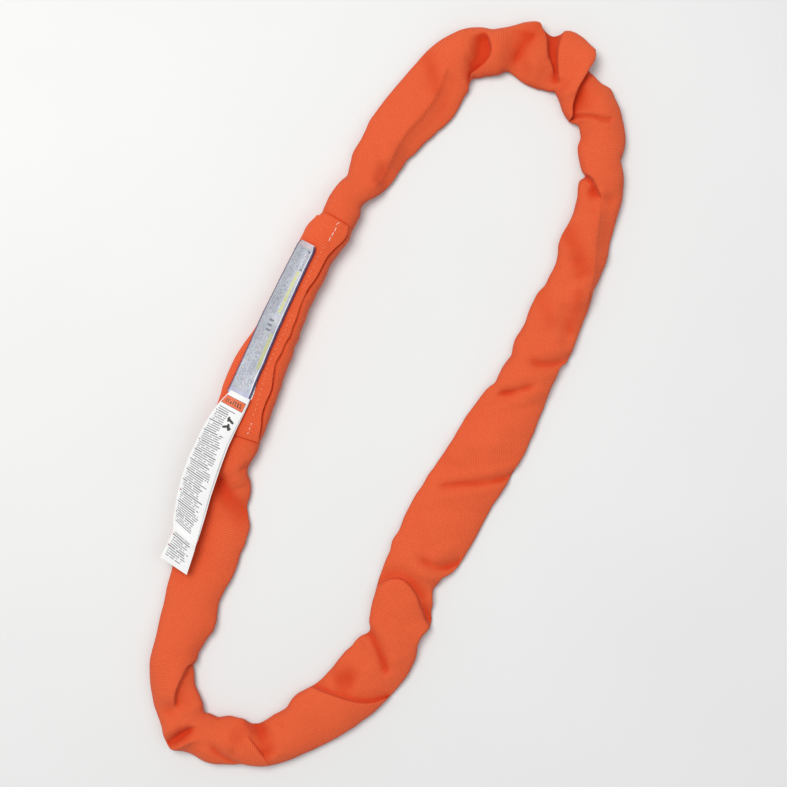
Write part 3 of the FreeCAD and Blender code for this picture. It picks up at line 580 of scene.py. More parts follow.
def closed_quads(rows, columns):
    """Row and column indices of a grid closed both ways, and its quads."""
    i, j = np.meshgrid(np.arange(rows), np.arange(columns), indexing="ij")
    i1, j1 = (i + 1) % rows, (j + 1) % columns
    corners = [i * columns + j, i1 * columns + j, i1 * columns + j1, i * columns + j1]
    return i, j, np.stack(corners, -1).reshape(-1, 4)


def loop_pieces(prefix, points, material, girth, painted_shade=None):
    """Splits a grid that runs right round the loop into its zones."""
    rows, columns = points.shape[:2]
    i, j, quads = closed_quads(rows, columns)
    flat, normals = points.reshape(-1, 3), grid_normals(points).reshape(-1, 3)
    v0, v1, v2 = flat[quads[0][:3]]
    faces_in = np.dot(np.cross(v1 - v0, v2 - v0), normals[quads[0][0]]) < 0
    order = [0, 3, 2, 1] if faces_in else [0, 1, 2, 3]
    u = np.stack([i, i + 1, i + 1, i], -1).reshape(-1, 4) * (LOOP * MM / rows)
    v = np.stack([j, j, j + 1, j + 1], -1).reshape(-1, 4) * (girth * MM / columns)
    uvs = np.stack([u, v], -1)
    zones = np.array([zone_of(x, y) for x, y in flat[quads].mean(1)[:, :2]])
    made = {}
    for zone in ZONES:
        chosen = np.where(zones == zone)[0]
        used, corners = np.unique(quads[chosen][:, order], return_inverse=True)
        o = mesh_object(prefix + "_" + zone, flat[used] * MM, corners.reshape(-1, 4),
                        uvs[chosen][:, order].reshape(-1, 2), normals[used])
        # The painted shade amount is stored on each point for the material.
        if painted_shade is not None:
            values = painted_shade.reshape(-1)[used].astype(np.float32)
            attribute = o.data.attributes.new("painted_shade", "FLOAT", "POINT")
            attribute.data.foreach_set("value", values)
        dress(o, material)
        attach(o, zone)
        made[zone] = o
    return made


def replace_nodes(pieces, prefix):
    for zone, o in pieces.items():
        if zone in NODE_ENDINGS:
            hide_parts(prefix + "_" + NODE_ENDINGS[zone])


def strip_solid(name, top, bottom, u, v, material, node=None, body="tag_section"):
    """A closed sheet with rims, from two open grids of points; u runs along it, v across."""
    rows, columns = top.shape[:2]
    under = rows * columns                          # index step from the top to the bottom
    index = np.arange(under).reshape(rows, columns)
    corners = [index[:-1, :-1], index[1:, :-1], index[1:, 1:], index[:-1, 1:]]
    quads = np.stack(corners, -1).reshape(-1, 4)
    verts = np.concatenate([top.reshape(-1, 3), bottom.reshape(-1, 3)])
    edges = verts[quads[:, 1]] - verts[quads[:, 0]], verts[quads[:, 2]] - verts[quads[:, 0]]
    away = (top - bottom).reshape(-1, 3).mean(0)
    order = [0, 1, 2, 3] if np.dot(np.cross(*edges).mean(0), away) > 0 else [0, 3, 2, 1]
    rim = [index[0, :], index[:, -1], index[-1, ::-1], index[::-1, 0]]
    loop = np.concatenate([side[:-1] for side in rim])
    following = np.roll(loop, -1)
    wall = np.stack([loop, following, following + under, loop + under], -1)
    k = verts[wall[0]]
    centre = verts[quads].mean((0, 1))
    if np.dot(np.cross(k[1] - k[0], k[2] - k[0]), k.mean(0) - centre) < 0:
        wall = wall[:, ::-1]
    faces = np.concatenate([quads[:, order], (quads + under)[:, order[::-1]], wall])
    uv = np.stack(np.broadcast_arrays(u[:, None], v[None, :]), -1).reshape(-1, 2)
    o = mesh_object(name, verts * MM, faces, np.concatenate([uv, uv])[faces].reshape(-1, 2))
    dress(o, material)
    mark_sharp(o, 50)
    if body:
        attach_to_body(o, body)
    if node:
        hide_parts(node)
    return o


# ------------------------------------------------------------------ shader graphs
def math_node(operation):
    """A method that joins a field to another value with one math node."""
    return lambda field, other=0.0: field.graph.math(operation, field, other)


class Field:
    """A shader value. Arithmetic on it adds math nodes, and | is the greater of two."""

    def __init__(self, graph, socket):
        self.graph, self.socket = graph, socket

    __add__, __sub__ = math_node("ADD"), math_node("SUBTRACT")
    __mul__, __truediv__ = math_node("MULTIPLY"), math_node("DIVIDE")
    __gt__, __lt__ = math_node("GREATER_THAN"), math_node("LESS_THAN")
    __or__, __pow__ = math_node("MAXIMUM"), math_node("POWER")
    floor, fract = math_node("FLOOR"), math_node("FRACT")
    sine, absolute = math_node("SINE"), math_node("ABSOLUTE")

    def __rsub__(self, other):
        return self.graph.math("SUBTRACT", other, self)

    def scaled(self, factor, offset):
        return self.graph.math("MULTIPLY_ADD", self, factor, offset)

    def between(self, low, high):
        return (self > low) * (self < high)

    def wave(self, period):
        """Sine from 0 to 1."""
        return self.scaled(2 * math.pi / period, 0.0).sine().scaled(0.5, 0.5)


def box(u, v, u0, u1, v0, v1):
    """1 inside a rectangle of the UV plane."""
    return u.between(u0, u1) * v.between(v0, v1)


class Graph:
    """A procedural material."""

    def __init__(self, name):
        self.mat = bpy.data.materials.new(name)
        self.mat.use_nodes = True
        self.tree = self.mat.node_tree
        self.tree.nodes.clear()
        output = self.node("OutputMaterial")
        self.bsdf = self.node("BsdfPrincipled")
        self.tree.links.new(self.bsdf.outputs[0], output.inputs[0])
        coordinates = self.node("TexCoord")
        self.uv = Field(self, coordinates.outputs["UV"])
        self.obj = Field(self, coordinates.outputs["Object"])

    def node(self, kind):
        return self.tree.nodes.new("ShaderNode" + kind)

    def put(self, socket, value):
        if isinstance(value, Field):
            self.tree.links.new(value.socket, socket)
        else:
            socket.default_value = value

    def fill(self, node, output, **values):
        """Sets or links a node's inputs and returns one output."""
        for name, value in values.items():
            self.put(node.inputs[name.replace("_", " ")], value)
        return Field(self, node.outputs[output])

    def finish(self, **values):
        """Sets the surface's inputs and returns the material."""
        self.fill(self.bsdf, 0, **values)
        return self.mat

    def math(self, operation, a, b=0.0, c=0.0, clamp=False):
        node = self.node("Math")
        node.operation = operation
        node.use_clamp = clamp
        for socket, value in zip(node.inputs, (a, b, c)):
            self.put(socket, value)
        return Field(self, node.outputs[0])

    def xyz(self, vector):
        node = self.node("SeparateXYZ")
        self.put(node.inputs[0], vector)
        return [Field(self, socket) for socket in node.outputs]

    def combine(self, x, y, z=0.0):
        return self.fill(self.node("CombineXYZ"), 0, X=x, Y=y, Z=z)

    def noise(self, vector, scale, detail=3.0, roughness=0.5, output="Fac"):
        return self.fill(self.node("TexNoise"), output, Vector=vector, Scale=scale,
                         Detail=detail, Roughness=roughness)

    def white(self, x, y, z):
        """A random value for each whole-numbered place."""
        return self.fill(self.node("TexWhiteNoise"), "Value", Vector=self.combine(x, y, z))

    def mix(self, factor, low, high):
        node = self.node("Mix")
        node.data_type = "RGBA"
        for index, value in zip((0, 6, 7), (factor, low, high)):
            self.put(node.inputs[index], value + (1.0,) if isinstance(value, tuple) else value)
        return Field(self, node.outputs[2])

    def map_range(self, value, low, high):
        return self.fill(self.node("MapRange"), 0, From_Min=low, From_Max=high, Value=value)

    def bump(self, height, strength, distance):
        return self.fill(self.node("Bump"), 0, Strength=strength, Distance=distance,
                         Height=height)


# ------------------------------------------------------------------ materials
def woven(name, deep, light, rib, cross, bump=0.5, sheen=0.25, painted_shade=None, side=0.42):
    """Woven web: ribs across the width, crossed by finer threads, with slubs and dust.

    rib and cross are the pitches of ribs and threads in metres. With a painted shade colour, the web is
    painted with it as shade: in recesses by ambient occlusion, where the stored painted shade amount
    says, and, by the amount side, on steep flanks."""
    g = Graph(name)
    u, v, _ = g.xyz(g.uv)
    wavy_u = u + g.noise(g.uv, scale=55.0, detail=2.0).scaled(0.0016, -0.0008)
    ribs = wavy_u.wave(rib)
    row = (wavy_u / rib).floor()
    threads = (v + row * (cross * 0.5)).wave(cross)         # every row starts half a thread on
    weave = threads.scaled(0.52, ribs * 0.56)
    slub = g.noise(g.combine(u * 900.0, v * 120.0), scale=1.0, roughness=0.6)
    cloud = g.noise(g.obj, scale=16.0, detail=4.0, roughness=0.55)
    fine = g.noise(g.obj, scale=420.0, roughness=0.6)
    tone = weave.scaled(0.56, slub.scaled(0.3, cloud * 0.16))
    tone = g.math("ADD", tone, fine.scaled(0.3, -0.32), clamp=True)
    colour = g.mix(tone, deep, light)
    if painted_shade:
        # Painted shade: ambient occlusion darkens recesses towards the painted shade colour.
        occlusion = g.node("AmbientOcclusion")
        occlusion.samples = 6
        openness = g.map_range(g.fill(occlusion, "AO", Distance=0.035), 0.40, 0.97)
        # Painted shade amount stored on the points of the cover.
        attribute = g.node("Attribute")
        attribute.attribute_name = "painted_shade"
        # Painted shade on steep flanks: faces that tilt away from upright take the painted shade
        # colour, by the amount side.
        normal = Field(g, g.node("NewGeometry").outputs["Normal"])
        steep = g.map_range(g.xyz(normal)[2], 0.88, 0.25)
        low = g.fill(attribute, "Fac") * 0.84 | steep * side
        # Mixes in the painted shade colour where the web is occluded, marked for painted shade, or
        # steep.
        colour = g.mix(openness * (1.0 - low), painted_shade, colour)
    return g.finish(
        Base_Color=colour, Roughness=slub.scaled(-0.12, 0.84), Sheen_Weight=sheen,
        Sheen_Roughness=0.45, Specular_IOR_Level=0.22, Sheen_Tint=(1.0, 0.62, 0.42, 1.0),
        Normal=g.bump(fine.scaled(0.35, weave), strength=bump, distance=0.00045))


def thread_material(name, deep, light):
    """Twisted thread."""
    g = Graph(name)
    x, y, _ = g.xyz(g.obj)
    twist = (x * 0.9 + y * 0.7).wave(0.0007)
    tone = twist.scaled(0.5, g.noise(g.obj, scale=900.0, detail=2.0) * 0.5)
    return g.finish(Base_Color=g.mix(tone, deep, light), Roughness=0.6, Sheen_Weight=0.2,
                    Normal=g.bump(tone, strength=0.4, distance=0.0002))


def plain_material(name, deep, light, rough):
    g = Graph(name)
    grain = g.noise(g.obj, scale=180.0, detail=4.0, roughness=0.6)
    cloud = g.noise(g.obj, scale=22.0)
    return g.finish(Base_Color=g.mix(grain.scaled(0.5, cloud * 0.5), deep, light),
                    Roughness=grain.scaled(0.15, rough - 0.07),
                    Normal=g.bump(grain, strength=0.1, distance=0.0003))


# Darker, fuller orange painted in as shade in recesses and on steep flanks of the cover and sleeve.
ORANGE_PAINTED_SHADE = (0.66, 0.040, 0.004)
COVER = woven("cover_weave", (0.74, 0.078, 0.019), (0.93, 0.185, 0.066),
              rib=0.0021, cross=0.0018, painted_shade=ORANGE_PAINTED_SHADE, bump=0.85)
SLEEVE = woven("sleeve_weave", (0.76, 0.078, 0.019), (0.93, 0.180, 0.062),
               rib=0.0027, cross=0.0019, painted_shade=ORANGE_PAINTED_SHADE, bump=0.85, side=0.08)
INNER_WEB = woven("inner_weave", (0.55, 0.52, 0.45), (0.80, 0.77, 0.70),
                  rib=0.002, cross=0.002, sheen=0.1)
YARN = thread_material("core_yarn", (0.62, 0.60, 0.54), (0.86, 0.84, 0.78))
TAPE = plain_material("splice_tape", (0.60, 0.56, 0.45), (0.78, 0.74, 0.62), rough=0.7)
PALE = thread_material("pale_thread", (0.86, 0.55, 0.44), (0.97, 0.86, 0.78))
FAINT = thread_material("faint_thread", (0.90, 0.20, 0.09), (0.96, 0.42, 0.28))
VIOLET = thread_material("violet_thread", (0.022, 0.010, 0.055), (0.10, 0.055, 0.20))


def tag_material():
    """Silver-lilac film with print. u runs 0 to 1 along the tag, v from inner to outer edge.

    Boxes are u0, u1, v0, v1."""
    g = Graph("tag_print")
    u, v, _ = g.xyz(g.uv)
    grain = g.noise(g.obj, scale=700.0, detail=4.0, roughness=0.7)
    cloud = g.noise(g.obj, scale=40.0)
    silver = g.map_range(grain.scaled(0.75, cloud * 0.25), 0.34, 0.70)
    colour = g.mix(silver, (0.20, 0.22, 0.27), (0.66, 0.69, 0.78))
    tint = g.noise(g.obj, scale=260.0, roughness=0.6, output="Color")
    colour = g.mix(0.17, colour, tint)
    # rows of short dashes along the tag, in three blocks
    rows, dashes, words = 17.0, 150.0, 34.0
    row, in_row = (v * rows).floor(), (v * rows).fract()
    dash = g.white((u * dashes).floor(), row, 3.0)
    word = g.white((u * words).floor(), row, 7.0)
    mark = in_row.between(0.25, 0.75) * (dash > 0.42) * (word > 0.34)
    blocks = (box(u, v, 0.06, 0.42, 0.34, 0.88) | box(u, v, 0.52, 0.93, 0.42, 0.90)
              | box(u, v, 0.07, 0.19, 0.14, 0.34))
    colour = g.mix(mark * blocks * 0.62, colour, (0.08, 0.09, 0.18))
    # two broken yellow-green bars near the inner edge, in worn pieces
    pieces = 46.0
    piece = g.white((u * pieces).floor(), 0.0, 2.0)
    bar = box(u, v, 0.55, 0.82, 0.23, 0.37) | box(u, v, 0.19, 0.42, 0.14, 0.27)
    bar = bar * (g.noise(g.obj, scale=900.0, detail=2.0) > 0.37)
    bar = bar * ((u * pieces).fract() > 0.16)
    colour = g.mix(bar * piece.scaled(0.30, 0.68), colour, (0.55, 0.56, 0.02))
    # small dark marks: a row with a bar at each end, and a group in the middle
    dots = box(u, v, 0.835, 0.955, 0.17, 0.29) * ((u * 92.0).fract() < 0.45)
    ends = box(u, v, 0.828, 0.838, 0.15, 0.31) | box(u, v, 0.946, 0.956, 0.15, 0.31)
    middle = box(u, v, 0.415, 0.505, 0.36, 0.58) * ((u * 33.0).fract() < 0.42)
    colour = g.mix((dots * 0.8 | (ends | middle)) * 0.85, colour, (0.03, 0.03, 0.07))
    # pale rule, dark rules at the inner and outer edges, and a hem at each end
    for mask, strength, ink in (
            (v.between(0.065, 0.115), 0.8, (0.90, 0.90, 0.93)),
            (v < 0.05, 0.8, (0.09, 0.06, 0.24)),
            (v > 0.965, 0.7, (0.14, 0.12, 0.24)),
            (u > 0.968, 0.55, (0.62, 0.46, 0.46)),
            (u < 0.030, 0.5, (0.50, 0.50, 0.74))):
        colour = g.mix(mask * strength, colour, ink)
    return g.finish(Base_Color=colour, Roughness=grain.scaled(0.2, 0.36), Metallic=0.05,
                    Normal=g.bump(grain, strength=0.25, distance=0.0003))


def pictogram(u, v):
    """A bar over a bent arm, made of rounded blobs."""
    x, y = v - 0.24, u - 0.172
    stretch = 5.6                                   # the label's length over its width

    def blob(x0, y0, radius_x, radius_y, tilt):
        a, b = x - x0, (y - y0) * stretch
        cos, sin = math.cos(tilt), math.sin(tilt)
        p, q = a * cos + b * sin, b * cos - a * sin
        return (p / radius_x).absolute() ** 3.0 + (q / radius_y).absolute() ** 3.0 < 1.0

    figure = blob(0.02, -0.022, 0.15, 0.040, -0.35) | blob(0.10, -0.026, 0.040, 0.085, 0.2)
    figure = figure | (blob(-0.02, 0.014, 0.045, 0.105, 0.5)
                       | blob(0.075, 0.018, 0.11, 0.040, 0.45))
    return figure | blob(-0.075, 0.024, 0.035, 0.06, -0.6)


def label_heading(g, colour, u, v):
    """An orange block with a darker rim and slanted dark print."""
    block = box(u, v, 0.030, 0.082, 0.055, 0.965)
    colour = g.mix(block, colour, (0.84, 0.135, 0.03))
    rim = block * (1.0 - box(u, v, 0.0335, 0.0785, 0.075, 0.945))
    colour = g.mix(rim, colour, (0.30, 0.04, 0.01))
    slant = u.scaled(2.2, v)
    letters = box(u, v, 0.042, 0.070, 0.16, 0.86) * (slant.wave(0.105) > 0.36)
    letters = letters * (g.white((v * 38.0).floor(), (u * 150.0).floor(), 2.0) > 0.12)
    return g.mix(letters * 0.92, colour, (0.06, 0.02, 0.01))


def label_material(name, header):
    """White synthetic sheet with printed lines; the header adds a heading and a pictogram.

    u runs 0 at the sewn end to 1 at the free end, v 0 at the inner edge to 1 at the outer."""
    g = Graph(name)
    u, v, _ = g.xyz(g.uv)
    grain = g.noise(g.obj, scale=300.0, roughness=0.6)
    cloud = g.noise(g.obj, scale=18.0)
    colour = g.mix(grain.scaled(0.4, cloud * 0.6), (0.80, 0.80, 0.79), (0.92, 0.92, 0.91))
    lines = 82.0
    row, in_row = (u * lines).floor(), (u * lines).fract()
    dash = g.white((v * 26.0).floor(), row, 1.0)
    begin = g.white(row, 0.0, 5.0).scaled(0.22, 0.12)
    strong = (row * 0.2).fract() < 0.15             # every fifth line
    mark = in_row.between(0.26, 0.74) * (dash > 0.08)
    mark = mark * (v < strong.scaled(0.04, 0.90)) * (v > begin)
    if header:
        beside = 1.0 - box(u, v, 0.112, 0.240, 0.0, 0.44)       # room for the pictogram
        printed = u.between(0.098, 0.975) * beside
        printed = printed * (1.0 - u.between(0.795, 0.838))     # a blank band across the sheet
        strength = strong.scaled(0.20, 0.76)
        colour = g.mix(mark * printed * strength, colour, (0.10, 0.10, 0.12))
        red = strong * (g.white(row, 4.0, 5.0) > 0.62) * v.between(0.93, 0.96)
        colour = g.mix(red * u.between(0.22, 0.97) * 0.8, colour, (0.55, 0.06, 0.05))
        colour = label_heading(g, colour, u, v)
        colour = g.mix(pictogram(u, v), colour, (0.015, 0.015, 0.015))
    else:
        colour = g.mix(mark * u.between(0.10, 0.95) * 0.45, colour, (0.20, 0.20, 0.22))
    return g.finish(Base_Color=colour, Roughness=grain.scaled(0.15, 0.42),
                    Normal=g.bump(grain, strength=0.12, distance=0.0003))


def window_material():
    g = Graph("clear_window")
    haze = g.noise(g.obj, scale=90.0, roughness=0.6)
    return g.finish(Base_Color=g.mix(haze, (0.93, 0.94, 0.96), (0.99, 0.99, 1.0)),
                    Roughness=haze.scaled(0.22, 0.12), Alpha=haze.scaled(0.05, 0.03),
                    Normal=g.bump(haze, strength=0.3, distance=0.0006))


# ------------------------------------------------------------------ outer cover
COARSE_ROWS, COARSE_COLUMNS = 460, 40
ROWS, COLUMNS = 1600, 112


def settle(points):
    """Moves from a short cloth run: the web is slightly too large and rests on the floor."""
    rows, columns = points.shape[:2]
    o = mesh_object("settling", points.reshape(-1, 3) * MM, closed_quads(rows, columns)[2])
    hold = 0.10 + 0.9 * in_sleeve(np.arange(rows) * STATIONS / rows, 3.0)
    group = o.vertex_groups.new(name="hold")
    for row in range(rows):
        members = list(range(row * columns, (row + 1) * columns))
        group.add(members, float(hold[row]), "REPLACE")
    ground = mesh_object("settling_floor", [(-1, -1, 0), (1, -1, 0), (1, 1, 0), (-1, 1, 0)],
                         [(0, 1, 2, 3)])
    ground.modifiers.new("c", "COLLISION")
    ground.collision.thickness_outer = 0.0008
    cloth = o.modifiers.new("cloth", "CLOTH")
    settings = cloth.settings
    settings.quality = 5
    settings.mass = 0.12
    settings.air_damping = 3.0
    settings.tension_stiffness = settings.compression_stiffness = 14
    settings.shear_stiffness = 8
    settings.bending_stiffness = 0.35
    settings.shrink_min = -0.07
    settings.use_pressure = True
    settings.uniform_pressure_force = 0.6
    settings.vertex_group_mass = "hold"
    settings.pin_stiffness = 0.35
    settings.effector_weights.gravity = 0.35
    cloth.collision_settings.use_self_collision = False
    cloth.collision_settings.distance_min = 0.001
    scene, last_frame = bpy.context.scene, 20
    for span in (scene, cloth.point_cache):
        span.frame_start, span.frame_end = 1, last_frame
    for number in range(1, last_frame + 1):
        scene.frame_set(number)
    settled = o.evaluated_get(bpy.context.evaluated_depsgraph_get())
    places = np.empty(len(settled.data.vertices) * 3, np.float32)
    settled.data.vertices.foreach_get("co", places)
    move = places.reshape(rows, columns, 3).astype(float) / MM - points
    bpy.data.objects.remove(o)
    bpy.data.objects.remove(ground)
    scene.frame_set(1)
    return np.where(np.isfinite(move), move, 0)     # guards against a cloth that blew up


def cover_move():
    """How the coarse cover moves as it settles, limited and softened."""
    station, angle = loop_grid(COARSE_ROWS, COARSE_COLUMNS)
    points, grid = section(station, angle, tucked(station))
    points = fold_all(points, grid, BIG_FOLDS)
    points[..., 2] = np.maximum(points[..., 2], 0.6)
    move = settle(points)
    most = 4.5
    size = np.linalg.norm(move, axis=-1, keepdims=True)
    limit = most * np.tanh(size / most) / np.maximum(size, 1e-9)
    return soften_grid(move * np.where(size > 1e-9, limit, 1.0), 2)


def cover_surface(move):
    """The finished cover's points and their Grid."""
    station, angle = loop_grid(ROWS, COLUMNS)
    points, grid = section(station, angle, tucked(station))
    rise = np.sin(angle)
    points = fold_all(points, grid, BIG_FOLDS)
    points = points + resample(move, ROWS, COLUMNS) * (1 - in_sleeve(station, 7.0))[..., None]
    points = fold_all(points, grid, SHARP_FOLDS)
    small = (random_folds(34, seed=21, depth=(0.8, 2.0), width=(12.0, 20.0), length=(45, 95))
             + random_folds(50, seed=5, depth=(0.3, 0.9), width=(8.0, 13.0), length=(26, 60))
             + random_folds(30, seed=6, depth=(0.15, 0.4), width=(4.0, 6.5), length=(16, 36)))
    folded = fold_all(points, grid, small)
    points = points + (folded - points) * (1 - in_sleeve(station, 5.0))[..., None]
    # under and side wrinkles, pushed along the surface's own normal
    below = grid._replace(place=(angle / math.pi - 1.5) * 2.4, half=np.full_like(station, 27.0))
    wrinkles = random_folds(170, seed=9, depth=(0.6, 1.9), width=(5, 10), length=(16, 55))
    push = fold_all(np.zeros_like(points), below, wrinkles, top_only=False)[..., 2]
    side = (1 - ease(-0.1, 0.6, rise)) * (0.25 + 0.75 * (1 - ease(-0.75, -0.25, rise)))
    push = push * side * (1 - in_sleeve(station, 2.4)) * 0.9
    points = points + grid_normals(points) * push[..., None]
    z = points[..., 2]
    z = np.where(z < 0.35, 0.35 - (0.35 - z) * 0.04, z)         # pressed flat on the floor
    z = np.maximum(z, 0.05)
    core_top = 9.0 - 6.0 * ease(0.45, 0.9, np.abs(grid.place))  # no hollow reaches into the core
    kept = 0.5 * (z + core_top + np.sqrt((z - core_top) ** 2 + 2.5))
    points[..., 2] = np.where(rise > 0.15, kept, z)
    return points, grid


def cover_painted_shade(points, grid):
    """How much painted shade the web gets at each place, 0 to 1: more the deeper a place lies below its
    surroundings, and in the SHADES patches.
    """
    normals = grid_normals(points)
    rise = np.sin(grid.angle)

    def depth_below(times, stride):
        """How far each place lies below its softened surroundings."""
        coarse = points[::stride, ::stride]
        drop = (soften_grid(coarse, times) - coarse) * normals[::stride, ::stride]
        return resample(drop.sum(-1), ROWS, COLUMNS)

    # Painted shade from depth below the softened surroundings, at a fine and a broad scale; the broad
    # one only on the top.
    wide = np.clip(depth_below(46, stride=4) + 1.2, 0, 4)
    sunk = np.maximum(depth_below(60, stride=1), 0) + 0.30 * wide * ease(0.25, 0.6, rise)
    sunk = np.where(rise > -0.2, sunk, 0.0)
    # Painted shade patches where the web lies in the shade of folds.
    shade = fold_all(np.zeros_like(points), grid, SHADES)[..., 2]
    return 1 - (1 - soften(ease(0.0, 2.6, sunk), 3)) * (1 - np.clip(shade, 0, 0.85))


settled_move = cover_move()
cover_points, cover_grid = cover_surface(settled_move)
cover_pieces = loop_pieces("cover", cover_points, COVER, WEB_GIRTH,
                           painted_shade=cover_painted_shade(cover_points, cover_grid))
replace_nodes(cover_pieces, "outer_cover")

# ------------------------------------------------------------------ inner cover
INNER_COLUMNS = 64


def draw_inside(points, host, gap, reach=7, bins=56):
    """Draws a grid in wherever it comes nearer than gap to the host round it.

    Each section is compared, by direction from its middle, with the host rows within reach."""
    count = len(points)
    row = np.arange(count)
    centre = points.mean(1)
    out = outward(centre)

    def bin_of(side, up):
        return np.floor((np.arctan2(up, side) / (2 * math.pi) + 1) * bins).astype(int) % bins

    near = np.round(row * len(host) / count).astype(int)[:, None]
    near = (near + np.arange(-reach, reach + 1)[None, :]) % len(host)
    rays = host[near] - centre[:, None, None]
    side, up = (rays * out[:, None, None]).sum(-1), rays[..., 2]
    least = np.full((count, bins), 1e9)
    np.minimum.at(least, (row[:, None, None], bin_of(side, up)), np.hypot(side, up))
    least = np.minimum.reduce(rolled(least, axis=1))
    rays = points - centre[:, None]
    side, up = (rays * out[:, None]).sum(-1), rays[..., 2]
    most = np.maximum(least[row[:, None], bin_of(side, up)] - gap, 1.5)
    shrink = np.minimum(1.0, most / np.maximum(np.hypot(side, up), 1e-6))
    return centre[:, None] + rays * shrink[..., None]


def inner_surface():
    station, angle = loop_grid(COARSE_ROWS, INNER_COLUMNS)
    points, _ = section(station, angle, tucked(station) + 2.9)
    move = resample(settled_move, COARSE_ROWS, INNER_COLUMNS)
    move = move * (1 - in_sleeve(station, 7.0))[..., None]
    points[..., :2] += np.clip(move[..., :2], -2.5, 2.5) * 0.6
    # how low the finished cover comes over each place
    rows = np.round(np.arange(COARSE_ROWS) * ROWS / COARSE_ROWS).astype(int)
    columns = np.round(np.arange(INNER_COLUMNS) * COLUMNS / INNER_COLUMNS).astype(int)
    lid = np.full(station.shape, 1e9)
    for i in range(-6, 7):
        near = cover_points[(rows + i) % ROWS]
        for j in range(-6, 7):
            lid = np.minimum(lid, near[:, (columns + j) % COLUMNS, 2])
    z = points[..., 2]
    points[..., 2] = np.where(np.sin(angle) > 0.05, np.minimum(z, np.maximum(lid - 1.4, 3.2)),
                              np.minimum(z, 8.0))
    return draw_inside(points, cover_points, gap=1.6)


inner_points = inner_surface()
replace_nodes(loop_pieces("inner_cover", inner_points, INNER_WEB, WEB_GIRTH),
              "inner_cover")

# ------------------------------------------------------------------ core yarn
PITCH = 5.9
LOWER_ROW, UPPER_ROW = -2.6, 2.75           # heights from the middle of the core
TURN_PLACES = [(-PITCH, LOWER_ROW), (0.0, LOWER_ROW), (PITCH, LOWER_ROW),
               (-PITCH / 2, UPPER_ROW), (PITCH / 2, UPPER_ROW)]
TURN_RADIUS, LOBE, CORE_HEIGHT = 2.45, 0.32, 10.9
YARN_TWISTS, YARN_GIRTH = 60, 17.0


def build_core():
    """Five three-lobed turns of yarn, pressed between the inner cover's roof and ground."""
    middle = inner_points.mean(1)
    middle[:, :2] = soften(middle[:, :2], 3)
    # the columns about the top and about the bottom of the inner cover
    roof = np.minimum.reduce(rolled(inner_points[:, 12:21, 2].min(1) - 0.5))
    ground = np.maximum.reduce(rolled(inner_points[:, 44:53, 2].max(1) + 0.4))
    middle[:, 2] = soften((roof + ground) / 2, 3)
    squeeze = soften(np.clip((roof - ground) / CORE_HEIGHT, 0.3, 1.0), 2)
    out = outward(middle)
    angle = np.arange(12)[None, :] * 2 * math.pi / 12
    turns = []
    for number, (side, up) in enumerate(TURN_PLACES):
        twist = np.arange(COARSE_ROWS)[:, None] * (2 * math.pi * YARN_TWISTS / COARSE_ROWS)
        radius = TURN_RADIUS + LOBE * np.cos(3 * (angle - (twist + number)))
        sideways = side + radius * np.cos(angle)
        upwards = (up + radius * np.sin(angle)) * squeeze[:, None]
        points = (middle[:, None, :] + out[:, None, :] * sideways[..., None]
                  + np.array([0, 0, 1.0]) * upwards[..., None])
        points[..., 2] = np.clip(points[..., 2], (ground + 0.3)[:, None],
                                 np.maximum(roof, ground + 1.5)[:, None])
        turns.append(loop_pieces("core_turn_%d" % (number + 1), points, YARN,
                                 YARN_GIRTH))
    replace_nodes(turns[0], "core_yarn")


build_core()

# ------------------------------------------------------------------ sleeve on the tag leg
SLEEVE_ROWS, SLEEVE_COLUMNS = 220, 112
SLEEVE_FOLDS = [Fold(*row) for row in [
    ("crease", [(165.5, 0.85), (167.2, 0.1), (168.4, -0.6)], 0.9, 6),
    ("crease", [(146.0, -0.9), (149.5, -0.2), (152.0, 0.7)], 0.8, 8),
    ("ridge", [(154.5, 1.0), (155.0, 0.2), (156.5, -0.5)], 0.7, 7),
    ("crease", [(159.0, -1.0), (160.2, -0.3)], 0.7, 7),
    ("bump", [(167.3, -0.1)], 1.2, 13),
    ("bump", [(149.0, 0.35)], 1.0, 14),
]]
UNDER_CREASE = Fold("crease", [(154.75, 0.45), (154.9, 0.75), (154.75, 1.0)], 1.3, 2.4)
# Free edge of the top layer: station, distance from the leg's middle towards the inner edge.
FREE_EDGE = np.array([
    (142.2, 24.0), (143.13, 23.0), (144.15, 21.2), (145.61, 18.6), (146.7, 18.9), (148.21, 20.0),
    (149.49, 17.8), (151.15, 13.9), (151.92, 12.6), (152.72, 12.8), (153.8, 12.0), (154.87, 12.4),
    (157.31, 10.7), (159.11, 9.0), (160.41, 8.9), (162.02, 11.0), (163.82, 11.5), (165.06, 12.4),
    (166.45, 15.2), (167.65, 17.4), (168.56, 16.0), (169.2, 11.6)])
LAYER_GAP, LAYER_THICKNESS = 0.25, 1.15
LAYER_TOP = LAYER_GAP + LAYER_THICKNESS     # the top layer's upper face over the sleeve surface


def edge_at(station):
    """The free edge's distance from the middle, averaged over a short length."""
    return sum(np.interp(station + d, FREE_EDGE[:, 0], FREE_EDGE[:, 1])
               for d in (-0.45, -0.2, 0.0, 0.2, 0.45)) / 5


